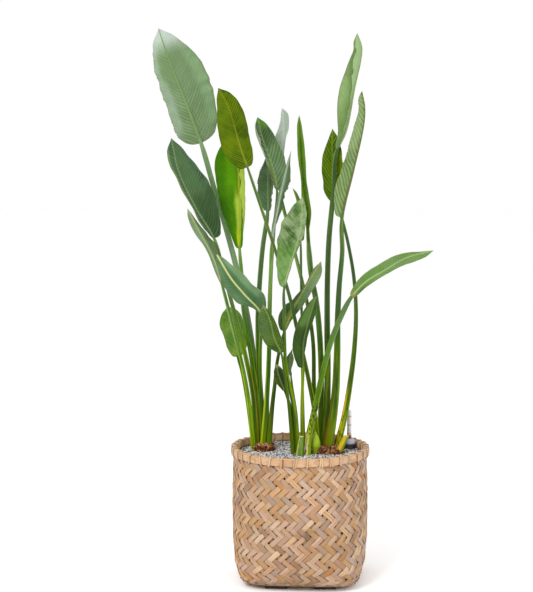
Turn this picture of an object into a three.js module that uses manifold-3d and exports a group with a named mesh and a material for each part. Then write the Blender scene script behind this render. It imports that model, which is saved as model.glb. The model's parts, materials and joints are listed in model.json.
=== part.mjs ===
// A potted bird of paradise plant: 23 leaves on long stalks, in a round twill-woven bamboo basket.
// Millimetres, +Z up, the front facing -Y and the floor at zero. Pieces are set out from the basket's axis.

import * as THREE from "three";
import { mergeVertices } from "three/addons/utils/BufferGeometryUtils.js";
import Module from "manifold-3d";

const wasm = await Module();
wasm.setup();

// Driving dimensions.
const GAP = 0.3; // between two pieces that touch
const RIM_RADIUS = 220; // outside of the outer hoop
const RIM_TOP = 430;
const HOOP_HEIGHT = 25;
const ROUND_FROM = 385; // height from which the basket's outline is a full circle
const HOOP_THICKNESS = 5.5;
const HOOP_PLAY = 1.2; // room between the inner hoop and the wall
const FEET_HEIGHT = 10;
const SKID = [70, 278]; // width and length of a foot
const WALL = 4.5; // woven wall, two layers of strip
const BASE_TURN = THREE.MathUtils.degToRad(-4); // how far the squared base is turned about Z
const BASE_SHIFT = 6; // how far the squared base sits to the right of the rim
const BASE_WIDE = 0.2; // how much wider the base is than it is deep, as a share
const BASE_WIDE_REACH = 11; // height over which most of that is gone
const LINER_WALL = 2;
const LINER_TOP = 404;
const FILL_TOP = 385; // top of the clay pebbles, where the stalks are rooted
const GRAVEL_TOP = 405;
const LASHINGS = 42;
const BLADE_THICKNESS = 2;
const BASE_ROUNDING = 0.06; // share of the blade that rounds off into the stalk
const STALK_ROWS = 7;
const BLADE_ROWS = 10;
const ROW_REACH = 0.12; // share of the blade over which its rows take their direction

// Basket outline: [half width of the rounded square, height].
const OUTLINE = [
  [146, 10],
  [174, 20],
  [193, 36],
  [208, 70],
  [216, 140],
  [218, 230],
  [217, 330],
  [213.8, 404],
  [213.8, 426],
];

const group = new THREE.Group();
const pieces = new THREE.Group(); // set out from the basket's axis, and moved as a whole at the end
group.add(pieces);
const material = (colour, roughness) =>
  new THREE.MeshStandardMaterial({ color: colour, roughness, metalness: 0 });

function addPiece(name, geometry, look) {
  const mesh = new THREE.Mesh(geometry, look);
  mesh.name = name;
  pieces.add(mesh);
  return mesh;
}

// Shared vertices merged, so that the geometry is one closed surface.
function welded(geometry) {
  geometry.deleteAttribute("normal");
  geometry.deleteAttribute("uv");
  return mergeVertices(geometry, 1e-4);
}

function toSolid(geometry) {
  const closed = welded(geometry.clone());
  const vertProperties = new Float32Array(closed.attributes.position.array);
  const triVerts = new Uint32Array(closed.index.array);
  return new wasm.Manifold(new wasm.Mesh({ numProp: 3, vertProperties, triVerts }));
}

function toGeometry(solid) {
  const mesh = solid.getMesh();
  const geometry = new THREE.BufferGeometry();
  geometry.setAttribute("position", new THREE.BufferAttribute(mesh.vertProperties, 3));
  geometry.setIndex(new THREE.BufferAttribute(mesh.triVerts, 1));
  return geometry;
}

// A lathe about Z: the profile is [radius, height] pairs, anticlockwise seen with Z up and X right.
function turned(profile, segments) {
  const points = profile.map(([radius, height]) => new THREE.Vector2(radius, height));
  return welded(new THREE.LatheGeometry(points, segments).rotateX(Math.PI / 2));
}

const lerp = THREE.MathUtils.lerp;

// ---------------------------------------------------------------- holder

// Half width of the basket's outline at a height.
function outlineAt(height) {
  const next = Math.max(1, OUTLINE.findIndex(([, z]) => z >= height));
  const [w0, z0] = OUTLINE[next - 1];
  const [w1, z1] = OUTLINE[next];
  return lerp(w0, w1, (height - z0) / (z1 - z0));
}

// How much of the base's shape is left at a height: 1 on the floor of the basket, 0 where it is round.
function baseShare(height) {
  const rise = THREE.MathUtils.clamp((height - FEET_HEIGHT) / (ROUND_FROM - FEET_HEIGHT), 0, 1);
  return (1 - rise) ** 5;
}

// The outline goes from a rounded square at the base to a circle at the rim, as a superellipse.
function squareness(angle, height) {
  const power = 2 + 3 * baseShare(height);
  const across = Math.abs(Math.cos(angle - BASE_TURN)) ** power;
  const along = Math.abs(Math.sin(angle - BASE_TURN)) ** power;
  return (across + along) ** (-1 / power);
}

// Moves a lathe's vertices out to the rounded square.
function squared(geometry) {
  const position = geometry.attributes.position;
  for (let i = 0; i < position.count; i += 1) {
    const angle = Math.atan2(position.getY(i), position.getX(i));
    const height = position.getZ(i);
    const grow = squareness(angle, height);
    const wide = 1 + BASE_WIDE * Math.exp((FEET_HEIGHT - height) / BASE_WIDE_REACH);
    position.setX(i, position.getX(i) * grow * wide + BASE_SHIFT * baseShare(height));
    position.setY(i, position.getY(i) * grow);
  }
  return geometry;
}

// Points of the outline moved in by an inset, from a floor height to a top height.
function insideWall(inset, floor, top) {
  const between = OUTLINE.map(([, height]) => height).filter((height) => height > floor && height < top);
  return [floor, ...between, top].map((height) => [outlineAt(height) - inset, height]);
}

const bamboo = material(0xc8a47c, 0.55);
const hoopBamboo = material(0xd0b48c, 0.5);
const cane = material(0xc9a878, 0.5);
const black = material(0x17171a, 0.6);

const FLOOR = FEET_HEIGHT + WALL; // top of the basket's woven floor
{
  const inner = insideWall(WALL, FLOOR + 6, RIM_TOP - 4).reverse();
  const profile = [[0, FEET_HEIGHT], ...OUTLINE, ...inner, [outlineAt(14) - WALL - 6, FLOOR], [0, FLOOR]];
  addPiece("basket", squared(turned(profile, 48)), bamboo);
}

function hoop(name, outside, look) {
  const inside = outside - HOOP_THICKNESS;
  const low = RIM_TOP - HOOP_HEIGHT;
  const round = 2;
  const profile = [
    [inside, low],
    [outside - round, low],
    [outside, low + round],
    [outside, RIM_TOP - round],
    [outside - round, RIM_TOP],
    [inside, RIM_TOP],
    [inside, low],
  ];
  addPiece(name, turned(profile, 48), look);
}
hoop("rim_outer_hoop", RIM_RADIUS, hoopBamboo);
hoop("rim_inner_hoop", RIM_RADIUS - HOOP_THICKNESS - WALL - HOOP_PLAY, hoopBamboo);

// The cane that ties the hoops: one strand along the top, with a band over both hoops at each tie.
{
  const outside = RIM_RADIUS + GAP;
  const inside = RIM_RADIUS - 2 * HOOP_THICKNESS - WALL - HOOP_PLAY - 3 * GAP;
  const thick = 1.6;
  const low = RIM_TOP - HOOP_HEIGHT - 3;
  const top = RIM_TOP + GAP;
  const middle = (outside + inside) / 2;
  const strand = [
    [middle - 2.5, top],
    [middle + 2.5, top],
    [middle + 2.5, top + thick],
    [middle - 2.5, top + thick],
    [middle - 2.5, top],
  ];
  let solid = toSolid(turned(strand, LASHINGS));
  const outline = new THREE.Shape();
  outline.moveTo(outside, low);
  outline.lineTo(outside + thick, low);
  outline.lineTo(outside + thick, top + thick);
  outline.lineTo(inside - thick, top + thick);
  outline.lineTo(inside - thick, low);
  outline.lineTo(inside, low);
  outline.lineTo(inside, top);
  outline.lineTo(outside, top);
  outline.closePath();
  const width = 5;
  const band = new THREE.ExtrudeGeometry(outline, { depth: width, bevelEnabled: false, steps: 1 });
  band.translate(0, 0, -width / 2).rotateX(Math.PI / 2);
  for (let tie = 0; tie < LASHINGS; tie += 1) {
    const angle = ((tie + 0.5) / LASHINGS) * 2 * Math.PI;
    solid = solid.add(toSolid(band.clone().rotateZ(angle)));
  }
  addPiece("rim_lashing", toGeometry(solid), cane);
}

// Two flat skids under the base, front to back.
for (const [side, x] of [["left", -73], ["right", 78]]) {
  const skid = new THREE.BoxGeometry(...SKID, FEET_HEIGHT - GAP);
  skid.translate(x, 0, (FEET_HEIGHT - GAP) / 2);
  addPiece("foot_" + side, welded(skid), black);
}

const linerInset = WALL + 10;
{
  const outer = insideWall(linerInset, FLOOR + 8, LINER_TOP);
  const inner = insideWall(linerInset + LINER_WALL, FLOOR + 8 + LINER_WALL, LINER_TOP).reverse();
  const floorRadius = outlineAt(14) - linerInset - 8;
  const profile = [[0, FLOOR + GAP], [floorRadius, FLOOR + GAP], ...outer, ...inner];
  profile.push([floorRadius, FLOOR + GAP + LINER_WALL], [0, FLOOR + GAP + LINER_WALL]);
  addPiece("liner", squared(turned(profile, 36)), material(0x23201d, 0.7));
}

const fillInset = linerInset + LINER_WALL + 3;

// ---------------------------------------------------------------- plant

const ROOT = FILL_TOP + 2 * GAP; // foot of every stalk
const UP = new THREE.Vector3(0, 0, 1);
const VIEWER = new THREE.Vector3(0, -1, 0); // the side that the leaves' upper faces are set out from
const cutters = []; // the buried end of each stem, slightly larger, to cut the gravel and the coir

// Value at a share from 0 to 1 of a smooth curve through evenly spaced values.
function eased(values, share) {
  const last = values.length - 1;
  const slope = (i) => {
    const before = values[Math.max(i - 1, 0)];
    const after = values[Math.min(i + 1, last)];
    return i === 0 || i === last ? after - before : (after - before) / 2;
  };
  const x = THREE.MathUtils.clamp(share, 0, 1) * last;
  const i = Math.min(Math.floor(x), last - 1);
  const f = x - i;
  const rise = f * f * (3 - 2 * f);
  const start = slope(i) * f * (1 - f) ** 2;
  const end = slope(i + 1) * f * f * (f - 1);
  return lerp(values[i], values[i + 1], rise) + start + end;
}

// Triangles that close a ring of eight points, across from its front to its back.
const CAP = [[1, 2, 3], [0, 1, 3], [0, 3, 4], [7, 0, 4], [7, 4, 5], [5, 6, 7]];

// A closed tube through rings of eight points, each ring anticlockwise round the way ahead. On a blade the
// strips are split towards its edges, alike on its front and back, so a twisted strip keeps its thickness.
function tube(rings) {
  const index = [];
  for (let row = 0; row + 1 < rings.length; row += 1) {
    for (let k = 0; k < 8; k += 1) {
      const [low, next] = [8 * row + k, 8 * row + ((k + 1) % 8)];
      if (k % 4 < 2) index.push(low, next, next + 8, low, next + 8, low + 8);
      else index.push(low, next, low + 8, next, next + 8, low + 8);
    }
  }
  const last = 8 * (rings.length - 1);
  for (const [a, b, c] of CAP) {
    index.push(a, c, b, last + a, last + b, last + c);
  }
  return new THREE.BufferGeometry().setFromPoints(rings.flat()).setIndex(index);
}

// Frame at a point of a centre line: front faces the viewer's side, right is to its right. The way ahead
// is the line's direction over a reach to both sides, so that rows of a blade don't meet in a tight bend.
function frameAt(line, share, roll, reach = 0.001) {
  const back = line.getPointAt(Math.max(share - reach, 0));
  const ahead = line.getPointAt(Math.min(share + reach, 1)).sub(back).normalize();
  const front = VIEWER.clone().addScaledVector(ahead, -VIEWER.dot(ahead)).normalize();
  front.applyAxisAngle(ahead, roll);
  return { at: line.getPointAt(share), front, right: new THREE.Vector3().crossVectors(ahead, front) };
}

function place(frame, [across, out]) {
  return frame.at.clone().addScaledVector(frame.right, across).addScaledVector(frame.front, out);
}

// A stem's foot is cut level.
function levelled(ring, ahead) {
  return ring.map((corner) => corner.clone().addScaledVector(ahead, (ROOT - corner.z) / ahead.z));
}

function oval(frame, halfWidth, halfDepth) {
  const corners = [];
  for (let k = 0; k < 8; k += 1) {
    const turn = (k * Math.PI) / 4;
    corners.push(place(frame, [halfWidth * Math.sin(turn), halfDepth * Math.cos(turn)]));
  }
  return corners;
}

// A stem's first rings, up past the coir, and on a little below its foot.
function addCutter(rings) {
  const low = rings[0].map((corner, k) => corner.clone().lerp(rings[1][k], -0.08));
  const last = rings.findIndex((ring) => ring[0].z > RIM_TOP);
  const grown = [low, ...rings.slice(1, last + 1)].map((ring) => {
    const centre = new THREE.Vector3();
    ring.forEach((corner) => centre.addScaledVector(corner, 1 / 8));
    const outwards = (corner) => corner.clone().sub(centre).setLength(corner.distanceTo(centre) + 0.7);
    return ring.map((corner) => outwards(corner).add(centre));
  });
  cutters.push(toSolid(tube(grown)));
}

// Section of a blade as an open line of five points, left edge to right edge, with the midrib at zero.
function bladeLine(left, right, share, least) {
  const half = (side, sign) => {
    const round = Math.sqrt(1 - (1 - Math.min(share / BASE_ROUNDING, 1)) ** 2);
    const width = Math.max(eased(side.widths, share) * round, least);
    const closing = Math.min(width / 40, 1); // a fold opens out where the blade is narrow
    const inner = side.inner > 90 ? lerp(60, side.inner, Math.min(share / 0.2, 1)) : side.inner;
    const outer = lerp(side.inner > 90 ? inner : 0, side.outer, closing);
    const [a, b] = [inner, outer].map(THREE.MathUtils.degToRad);
    const crease = [sign * side.crease * width * Math.cos(a), side.crease * width * Math.sin(a)];
    const rest = (1 - side.crease) * width;
    return [crease, [crease[0] + sign * rest * Math.cos(b), crease[1] + rest * Math.sin(b)]];
  };
  const [leftCrease, leftEdge] = half(left, -1);
  const [rightCrease, rightEdge] = half(right, 1);
  return [leftEdge, leftCrease, [0, 0], rightCrease, rightEdge];
}

// Moves a corner of the blade's line out to its front or back face, mitred, and held short in a tight fold.
function mitred(before, corner, after, half, toFront) {
  const along = [corner[0] - before[0], corner[1] - before[1]];
  const on = [after[0] - corner[0], after[1] - corner[1]];
  const [alongLength, onLength] = [Math.hypot(...along), Math.hypot(...on)];
  const normal = [-along[1] / alongLength, along[0] / alongLength];
  const next = [-on[1] / onLength, on[0] / onLength];
  const sum = Math.max(Math.hypot(normal[0] + next[0], normal[1] + next[1]), 1e-6);
  const way = [(normal[0] + next[0]) / sum, (normal[1] + next[1]) / sum];
  const reach = half / Math.max(way[0] * normal[0] + way[1] * normal[1], 1e-3);
  const closesToFront = along[0] * on[1] - along[1] * on[0] > 0;
  const limit = closesToFront === toFront ? 0.3 * Math.min(alongLength, onLength) : 1.4 * half;
  const move = (toFront ? 1 : -1) * Math.min(reach, Math.max(limit, 0.3));
  return [corner[0] + way[0] * move, corner[1] + way[1] * move];
}

function bladeRing(frame, line, half, ribHalf) {
  const [leftEdge, leftCrease, rib, rightCrease, rightEdge] = line;
  const points = [
    mitred(leftCrease, rib, rightCrease, ribHalf, true),
    mitred(rib, rightCrease, rightEdge, half, true),
    rightEdge,
    mitred(rib, rightCrease, rightEdge, half, false),
    mitred(leftCrease, rib, rightCrease, ribHalf, false),
    mitred(leftEdge, leftCrease, rib, half, false),
    leftEdge,
    mitred(leftEdge, leftCrease, rib, half, true),
  ];
  return points.map((point) => place(frame, point));
}

// A leaf with its stalk, grown as one piece. The rib runs from the blade's base to its tip. The blade's
// halves have seven widths each from base to tip, and two strips that meet at a crease: its share of the
// half, and the angles of the inner and outer strip towards the front. Stalk widths are at foot and top.
function addLeaf(name, colour, { foot, stalk, rib, left, right, roll, stalkWidth }) {
  const points = [[...foot, ROOT], ...stalk, ...rib].map((point) => new THREE.Vector3(...point));
  const line = new THREE.CatmullRomCurve3(points, false, "centripetal");
  const lengths = line.getLengths(60 * (points.length - 1));
  const base = lengths[60 * (stalk.length + 1)] / lengths.at(-1);
  const turn = THREE.MathUtils.degToRad(roll);
  const rings = [];
  const widthAt = (share) => lerp(stalkWidth[1], stalkWidth[0], (1 - share) ** 1.6);
  for (let row = 0; row <= STALK_ROWS; row += 1) {
    const share = row / STALK_ROWS;
    const frame = frameAt(line, base * share, turn * Math.max(4 * share - 3, 0));
    rings.push(oval(frame, widthAt(share) / 2, widthAt(share) * 0.3));
  }
  for (let row = 1; row <= BLADE_ROWS; row += 1) {
    const share = (row / BLADE_ROWS) ** 1.25;
    const frame = frameAt(line, lerp(base, 1, share), turn, ROW_REACH * (1 - base));
    const least = lerp(stalkWidth[1] / 2, 1.5, Math.min(4 * share, 1));
    const half = lerp(BLADE_THICKNESS / 2, 0.5, share);
    const ribHalf = lerp(stalkWidth[1] * 0.25, half, Math.min(share * 1.5, 1) ** 0.7);
    rings.push(bladeRing(frame, bladeLine(left, right, share, least), half, ribHalf));
  }
  rings[0] = levelled(rings[0], line.getTangentAt(0));
  addPiece(name, tube(rings), material(colour, 0.5));
  addCutter(rings);
}

// A short bare stem from a foot to a top, with half widths along it.
function addStem(name, colour, foot, top, halves) {
  const start = new THREE.Vector3(...foot, ROOT);
  const end = new THREE.Vector3(...top);
  const line = new THREE.CatmullRomCurve3([start, start.clone().lerp(end, 0.5), end]);
  const rings = [];
  halves.forEach((half, row) => rings.push(oval(frameAt(line, row / (halves.length - 1), 0), half, half)));
  rings[0] = levelled(rings[0], line.getTangentAt(0));
  addPiece(name, tube(rings), material(colour, 0.55));
  addCutter(rings);
}

addLeaf("leaf_left_top", 0x9fb592, {
  foot: [-124, 93],
  stalk: [[-134, 93, 560], [-156, 92, 725], [-176, 96, 855], [-230, 100, 1080], [-282, 96, 1260]],
  rib: [[-320, 85, 1395], [-365, 60, 1520], [-410, 25, 1640], [-445, -10, 1750]],
  left: { widths: [30, 66, 70, 65, 60, 45, 5], crease: 0.5, inner: -24, outer: -31 },
  right: { widths: [45, 85, 102, 105, 95, 60, 10], crease: 0.5, inner: -12, outer: -18 },
  roll: 10,
  stalkWidth: [24, 17],
});
addLeaf("leaf_left_upright", 0x6f8a1e, {
  foot: [56, 22],
  stalk: [[44, 4, 560], [20, -10, 675], [-18, -30, 840], [-40, -44, 935], [-90, -70, 1095]],
  rib: [[-165, -85, 1320], [-186, -88, 1380], [-224, -90, 1506], [-255, -80, 1563]],
  left: { widths: [15, 55, 60, 57, 47, 32, 3], crease: 0.5, inner: -18, outer: -22 },
  right: { widths: [12, 32, 38, 42, 41, 32, 4], crease: 0.5, inner: -18, outer: -22 },
  roll: 0,
  stalkWidth: [18, 9],
});
addLeaf("leaf_left_wide", 0x3f6644, {
  foot: [-140, 50],
  stalk: [[-150, 42, 570], [-184, 30, 750], [-214, 24, 865], [-246, 16, 990]],
  rib: [[-275, 5, 1095], [-330, -5, 1190], [-385, -15, 1310], [-405, -25, 1410]],
  left: { widths: [5, 15, 10, 15, 15, 25, 5], crease: 0.5, inner: 31, outer: 44 },
  right: { widths: [20, 60, 80, 80, 70, 45, 5], crease: 0.5, inner: 11, outer: 14 },
  roll: -10,
  stalkWidth: [20, 12],
});
addLeaf("leaf_left_low", 0x84997e, {
  foot: [-148, 34],
  stalk: [[-166, 22, 575], [-196, 8, 735], [-216, 0, 810], [-236, -8, 900]],
  rib: [[-250, -15, 955], [-280, -25, 1045], [-325, -30, 1130], [-355, -30, 1190]],
  left: { widths: [5, 10, 10, 10, 15, 15, 5], crease: 0.5, inner: -22, outer: -28 },
  right: { widths: [5, 15, 25, 30, 20, 10, 0], crease: 0.5, inner: -22, outer: -28 },
  roll: 25,
  stalkWidth: [16, 11],
});
addLeaf("leaf_left_bright", 0x4f8c1c, {
  foot: [-130, 65],
  stalk: [[-140, 60, 565], [-162, 58, 730], [-184, 58, 860], [-190, 48, 1020]],
  rib: [[-195, 40, 1060], [-195, 35, 1165], [-197, 25, 1290], [-206, 8, 1420]],
  left: { widths: [8, 34, 56, 68, 74, 68, 22], crease: 0.5, inner: 9, outer: 11 },
  right: { widths: [8, 25, 36, 39, 39, 34, 9], crease: 0.55, inner: 0, outer: 155 },
  roll: 0,
  stalkWidth: [20, 12],
});
addLeaf("leaf_left_small", 0x3f6644, {
  foot: [-150, 70],
  stalk: [[-174, 80, 565], [-192, 88, 660]],
  rib: [[-205, 90, 705], [-210, 90, 760], [-220, 85, 820], [-235, 80, 870]],
  left: { widths: [10, 30, 35, 40, 45, 35, 5], crease: 0.5, inner: 12, outer: 18 },
  right: { widths: [10, 35, 35, 35, 35, 30, 5], crease: 0.5, inner: 12, outer: 18 },
  roll: 0,
  stalkWidth: [14, 9],
});
addLeaf("leaf_centre_folded", 0x5d8468, {
  foot: [-102, 60],
  stalk: [[-108, 58, 565], [-100, 56, 730], [-96, 50, 925], [-88, 36, 1085]],
  rib: [[-75, 10, 1250], [-90, 5, 1325], [-120, 0, 1410], [-135, -5, 1475]],
  left: { widths: [7, 16, 22, 26, 29, 32, 9], crease: 0.55, inner: 0, outer: 155 },
  right: { widths: [10, 35, 45, 45, 40, 30, 5], crease: 0.5, inner: 11, outer: 14 },
  roll: 0,
  stalkWidth: [16, 10],
});
addLeaf("leaf_centre_pale", 0xb4c4ba, {
  foot: [46, 44],
  stalk: [[44, 52, 635], [38, 60, 795], [20, 64, 890], [-16, 72, 1035], [-46, 76, 1155]],
  rib: [[-65, 75, 1240], [-65, 70, 1340], [-55, 70, 1435], [-60, 60, 1505]],
  left: { widths: [5, 15, 25, 30, 25, 10, 0], crease: 0.5, inner: -16, outer: -19 },
  right: { widths: [5, 10, 10, 10, 10, 20, 5], crease: 0.5, inner: -16, outer: -19 },
  roll: 0,
  stalkWidth: [16, 11],
});
addLeaf("leaf_centre_torn", 0x5d8468, {
  foot: [-112, 78],
  stalk: [[-128, 78, 565], [-136, 74, 730], [-136, 62, 860], [-122, 56, 1055]],
  rib: [[-105, 50, 1180], [-105, 40, 1245], [-105, 40, 1310], [-110, 35, 1380]],
  left: { widths: [10, 30, 35, 35, 25, 5, 0], crease: 0.5, inner: 12, outer: 18 },
  right: { widths: [10, 15, 20, 20, 20, 10, 0], crease: 0.5, inner: 12, outer: 18 },
  roll: 0,
  stalkWidth: [22, 15],
});
addLeaf("leaf_centre_striped", 0x8fa397, {
  foot: [-124, 36],
  stalk: [[-108, 30, 570], [-100, 22, 735], [-98, 10, 895], [-94, 0, 995]],
  rib: [[-90, -10, 1090], [-75, -20, 1170], [-55, -30, 1270], [-30, -35, 1370]],
  left: { widths: [5, 10, 10, 10, 5, 5, 0], crease: 0.5, inner: -12, outer: -18 },
  right: { widths: [5, 5, 15, 15, 25, 10, 0], crease: 0.5, inner: -22, outer: -28 },
  roll: -25,
  stalkWidth: [20, 12],
});
addLeaf("leaf_centre_front", 0x6f9a62, {
  foot: [-8, -20],
  stalk: [[-14, -36, 520], [-32, -56, 620], [-46, -76, 710], [-50, -104, 860]],
  rib: [[-50, -120, 950], [-30, -130, 1025], [0, -140, 1130], [5, -130, 1230]],
  left: { widths: [10, 40, 55, 65, 65, 45, 5], crease: 0.5, inner: -18, outer: -22 },
  right: { widths: [5, 5, 5, 12, 15, 15, 5], crease: 0.5, inner: -30, outer: -40 },
  roll: 0,
  stalkWidth: [14, 10],
});
addLeaf("leaf_centre_rolled", 0x5c8436, {
  foot: [62, 54],
  stalk: [[68, 48, 570], [64, 38, 750], [52, 28, 880], [32, 20, 995]],
  rib: [[25, 10, 1080], [20, 5, 1170], [5, -5, 1325], [-5, -15, 1480]],
  left: { widths: [22, 28, 25, 20, 20, 22, 10], crease: 0.5, inner: 55, outer: 85 },
  right: { widths: [30, 30, 25, 20, 25, 15, 5], crease: 0.5, inner: 55, outer: 85 },
  roll: 0,
  stalkWidth: [20, 18],
});
addLeaf("leaf_centre_slim", 0x3d5c26, {
  foot: [14, 8],
  stalk: [[8, 8, 575], [6, 4, 740], [2, -14, 965]],
  rib: [[0, -40, 1090], [-5, -45, 1155], [-10, -45, 1210], [-25, -45, 1255]],
  left: { widths: [5, 5, 5, 5, 5, 0, 0], crease: 0.5, inner: 22, outer: 28 },
  right: { widths: [10, 15, 15, 15, 10, 10, 0], crease: 0.5, inner: 22, outer: 28 },
  roll: 0,
  stalkWidth: [12, 8],
});
addLeaf("leaf_front_slanted", 0x47633f, {
  foot: [-104, 34],
  stalk: [[-88, 26, 570], [-82, 22, 620], [-72, 12, 710]],
  rib: [[-50, 0, 800], [-25, -10, 865], [15, -20, 940], [65, -30, 1025]],
  left: { widths: [10, 45, 30, 15, 5, 10, 0], crease: 0.5, inner: 25, outer: 35 },
  right: { widths: [5, 10, 20, 25, 25, 25, 5], crease: 0.5, inner: 28, outer: 42 },
  roll: 10,
  stalkWidth: [20, 10],
});
addLeaf("leaf_front_cupped", 0x3c5f3c, {
  foot: [8, -12],
  stalk: [[6, -20, 515], [6, -28, 580], [8, -42, 650]],
  rib: [[10, -50, 690], [10, -65, 765], [25, -75, 835], [50, -75, 920]],
  left: { widths: [15, 30, 35, 35, 30, 20, 5], crease: 0.5, inner: 18, outer: 22 },
  right: { widths: [5, 5, 10, 10, 15, 15, 5], crease: 0.5, inner: 20, outer: 30 },
  roll: -15,
  stalkWidth: [14, 10],
});
addLeaf("leaf_front_low", 0x5f8158, {
  foot: [-22, -22],
  stalk: [[-36, -56, 570], [-48, -84, 670]],
  rib: [[-60, -110, 745], [-80, -120, 790], [-95, -125, 850], [-115, -120, 895]],
  left: { widths: [5, 25, 35, 40, 40, 30, 5], crease: 0.5, inner: 16, outer: 19 },
  right: { widths: [8, 20, 22, 20, 15, 10, 0], crease: 0.5, inner: 16, outer: 19 },
  roll: 0,
  stalkWidth: [12, 9],
});
addLeaf("leaf_front_shortest", 0x3c5a38, {
  foot: [-2, 6],
  stalk: [[-14, -8, 545], [-24, -16, 610]],
  rib: [[-30, -20, 660], [-35, -20, 685], [-35, -20, 710], [-25, -20, 745]],
  left: { widths: [5, 5, 10, 10, 10, 5, 0], crease: 0.5, inner: 28, outer: 42 },
  right: { widths: [5, 5, 10, 15, 15, 5, 0], crease: 0.5, inner: 28, outer: 42 },
  roll: 0,
  stalkWidth: [12, 8],
});
addLeaf("leaf_left_front", 0x558468, {
  foot: [-120, 52],
  stalk: [[-126, 36, 570], [-128, 10, 670], [-126, -30, 775]],
  rib: [[-125, -70, 865], [-170, -90, 920], [-215, -100, 975], [-260, -95, 1050]],
  left: { widths: [5, 15, 35, 35, 30, 20, 5], crease: 0.5, inner: 11, outer: 14 },
  right: { widths: [10, 45, 45, 40, 35, 20, 5], crease: 0.5, inner: 11, outer: 14 },
  roll: 0,
  stalkWidth: [16, 10],
});
addLeaf("leaf_front_young", 0x35502f, {
  foot: [-18, 0],
  stalk: [[-26, -24, 535], [-42, -38, 595]],
  rib: [[-50, -40, 615], [-60, -45, 640], [-70, -45, 670], [-75, -45, 700]],
  left: { widths: [5, 10, 15, 15, 15, 10, 0], crease: 0.5, inner: 22, outer: 28 },
  right: { widths: [5, 15, 20, 25, 20, 15, 0], crease: 0.5, inner: 22, outer: 28 },
  roll: 0,
  stalkWidth: [14, 10],
});
addLeaf("leaf_right_top", 0x6f9850, {
  foot: [72, 38],
  stalk: [[88, 34, 570], [86, 28, 765], [86, 28, 960], [88, 30, 1055], [102, 34, 1215]],
  rib: [[115, 36, 1375], [140, 30, 1435], [165, 20, 1555], [190, 5, 1690], [175, 0, 1735]],
  left: { widths: [5, 25, 40, 45, 40, 30, 5], crease: 0.5, inner: 6, outer: 10 },
  right: { widths: [8, 12, 12, 12, 28, 34, 6], crease: 0.3, inner: 112, outer: 166 },
  roll: 0,
  stalkWidth: [24, 16],
});
addLeaf("leaf_right_tall", 0x8ca070, {
  foot: [82, 16],
  stalk: [[108, 10, 545], [116, 4, 675], [120, -2, 900], [132, -6, 1060]],
  rib: [[131, -10, 1163], [162, -12, 1294], [195, -18, 1436], [201, -22, 1498], [190, -25, 1555]],
  left: { widths: [20, 42, 41, 36, 34, 24, 5], crease: 0.5, inner: 8, outer: 12 },
  right: { widths: [12, 15, 15, 15, 15, 15, 5], crease: 0.5, inner: -154, outer: -161 },
  roll: 0,
  stalkWidth: [34, 14],
});
addLeaf("leaf_right_green", 0x5c7f1c, {
  foot: [108, 27],
  stalk: [[140, 32, 505], [162, 44, 635], [176, 54, 765], [178, 62, 895], [168, 66, 990], [150, 70, 1085]],
  rib: [[120, 70, 1200], [105, 70, 1275], [100, 65, 1355], [100, 60, 1440]],
  left: { widths: [10, 35, 35, 35, 30, 15, 0], crease: 0.5, inner: 11, outer: 14 },
  right: { widths: [10, 25, 35, 45, 40, 25, 5], crease: 0.5, inner: 26, outer: 49 },
  roll: 0,
  stalkWidth: [24, 10],
});
addLeaf("leaf_right_arching", 0x74994a, {
  foot: [22, -42],
  stalk: [[26, -42, 455], [46, -44, 555], [66, -48, 650], [88, -52, 745], [122, -58, 840]],
  rib: [[160, -65, 915], [205, -75, 965], [260, -85, 1000], [325, -100, 1040], [410, -115, 1065]],
  left: { widths: [10, 20, 25, 25, 20, 8, 0], crease: 0.5, inner: 6, outer: 9 },
  right: { widths: [10, 15, 15, 15, 20, 20, 5], crease: 0.5, inner: 30, outer: 50 },
  roll: 0,
  stalkWidth: [22, 17],
});

addStem("stub_green", 0x6f9448, [-3, -39], [5, -38, 466], [11.5, 11, 9.5]);
addStem("bud", 0x7fa52e, [46, -15], [49, -19, 479], [7, 9.5, 14, 11.5, 1.5]);
addStem("stub_yellow", 0xb7b253, [112, -6], [147, 0, 460], [9.5, 10.5, 9.5]);

// ---------------------------------------------------------------- what the basket is filled with

const GAUGE = [160, 78];
const TUBE_RADIUS = 7.5;

function standing(profile, segments) {
  return turned(profile, segments).translate(...GAUGE, 0);
}

function cut(geometry, tools) {
  let solid = toSolid(geometry);
  for (const tool of tools) solid = solid.subtract(tool);
  return toGeometry(solid);
}

const gaugeCutter = toSolid(
  new THREE.CylinderGeometry(TUBE_RADIUS + GAP, TUBE_RADIUS + GAP, 600, 12)
    .rotateX(Math.PI / 2)
    .translate(...GAUGE, 350)
);
const bottom = FLOOR + LINER_WALL + 2 * GAP;
{
  const wall = insideWall(fillInset, FLOOR + 12, FILL_TOP);
  const profile = [[0, bottom], [outlineAt(14) - fillInset - 8, bottom], ...wall, [0, FILL_TOP]];
  addPiece("clay_pebbles", cut(squared(turned(profile, 36)), [gaugeCutter]), material(0x7a5236, 0.9));
}
{
  const wall = insideWall(fillInset, FILL_TOP + GAP, GRAVEL_TOP);
  const profile = [[0, FILL_TOP + GAP], ...wall, [0, GRAVEL_TOP]];
  const gravel = cut(squared(turned(profile, 36)), [gaugeCutter, ...cutters]);
  addPiece("gravel", gravel, material(0xc9ccd0, 0.8));
}

// A flat-topped plug of coconut fibre round the foot of a clump.
function addCoir(name, [x, y], [halfWidth, halfDepth], height) {
  const profile = [[0, 0], [1, 0], [1.02, 0.5], [0.93, 0.85], [0.75, 1], [0, 1]];
  const plug = turned(profile, 16).scale(halfWidth, halfDepth, height);
  plug.translate(x, y, GRAVEL_TOP + GAP);
  addPiece(name, cut(plug, cutters), material(0x8f5c36, 0.95));
}
addCoir("coir_left", [-118, 48], [36, 43], 25);
addCoir("coir_right", [90, 14], [56, 48], 22);

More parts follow.
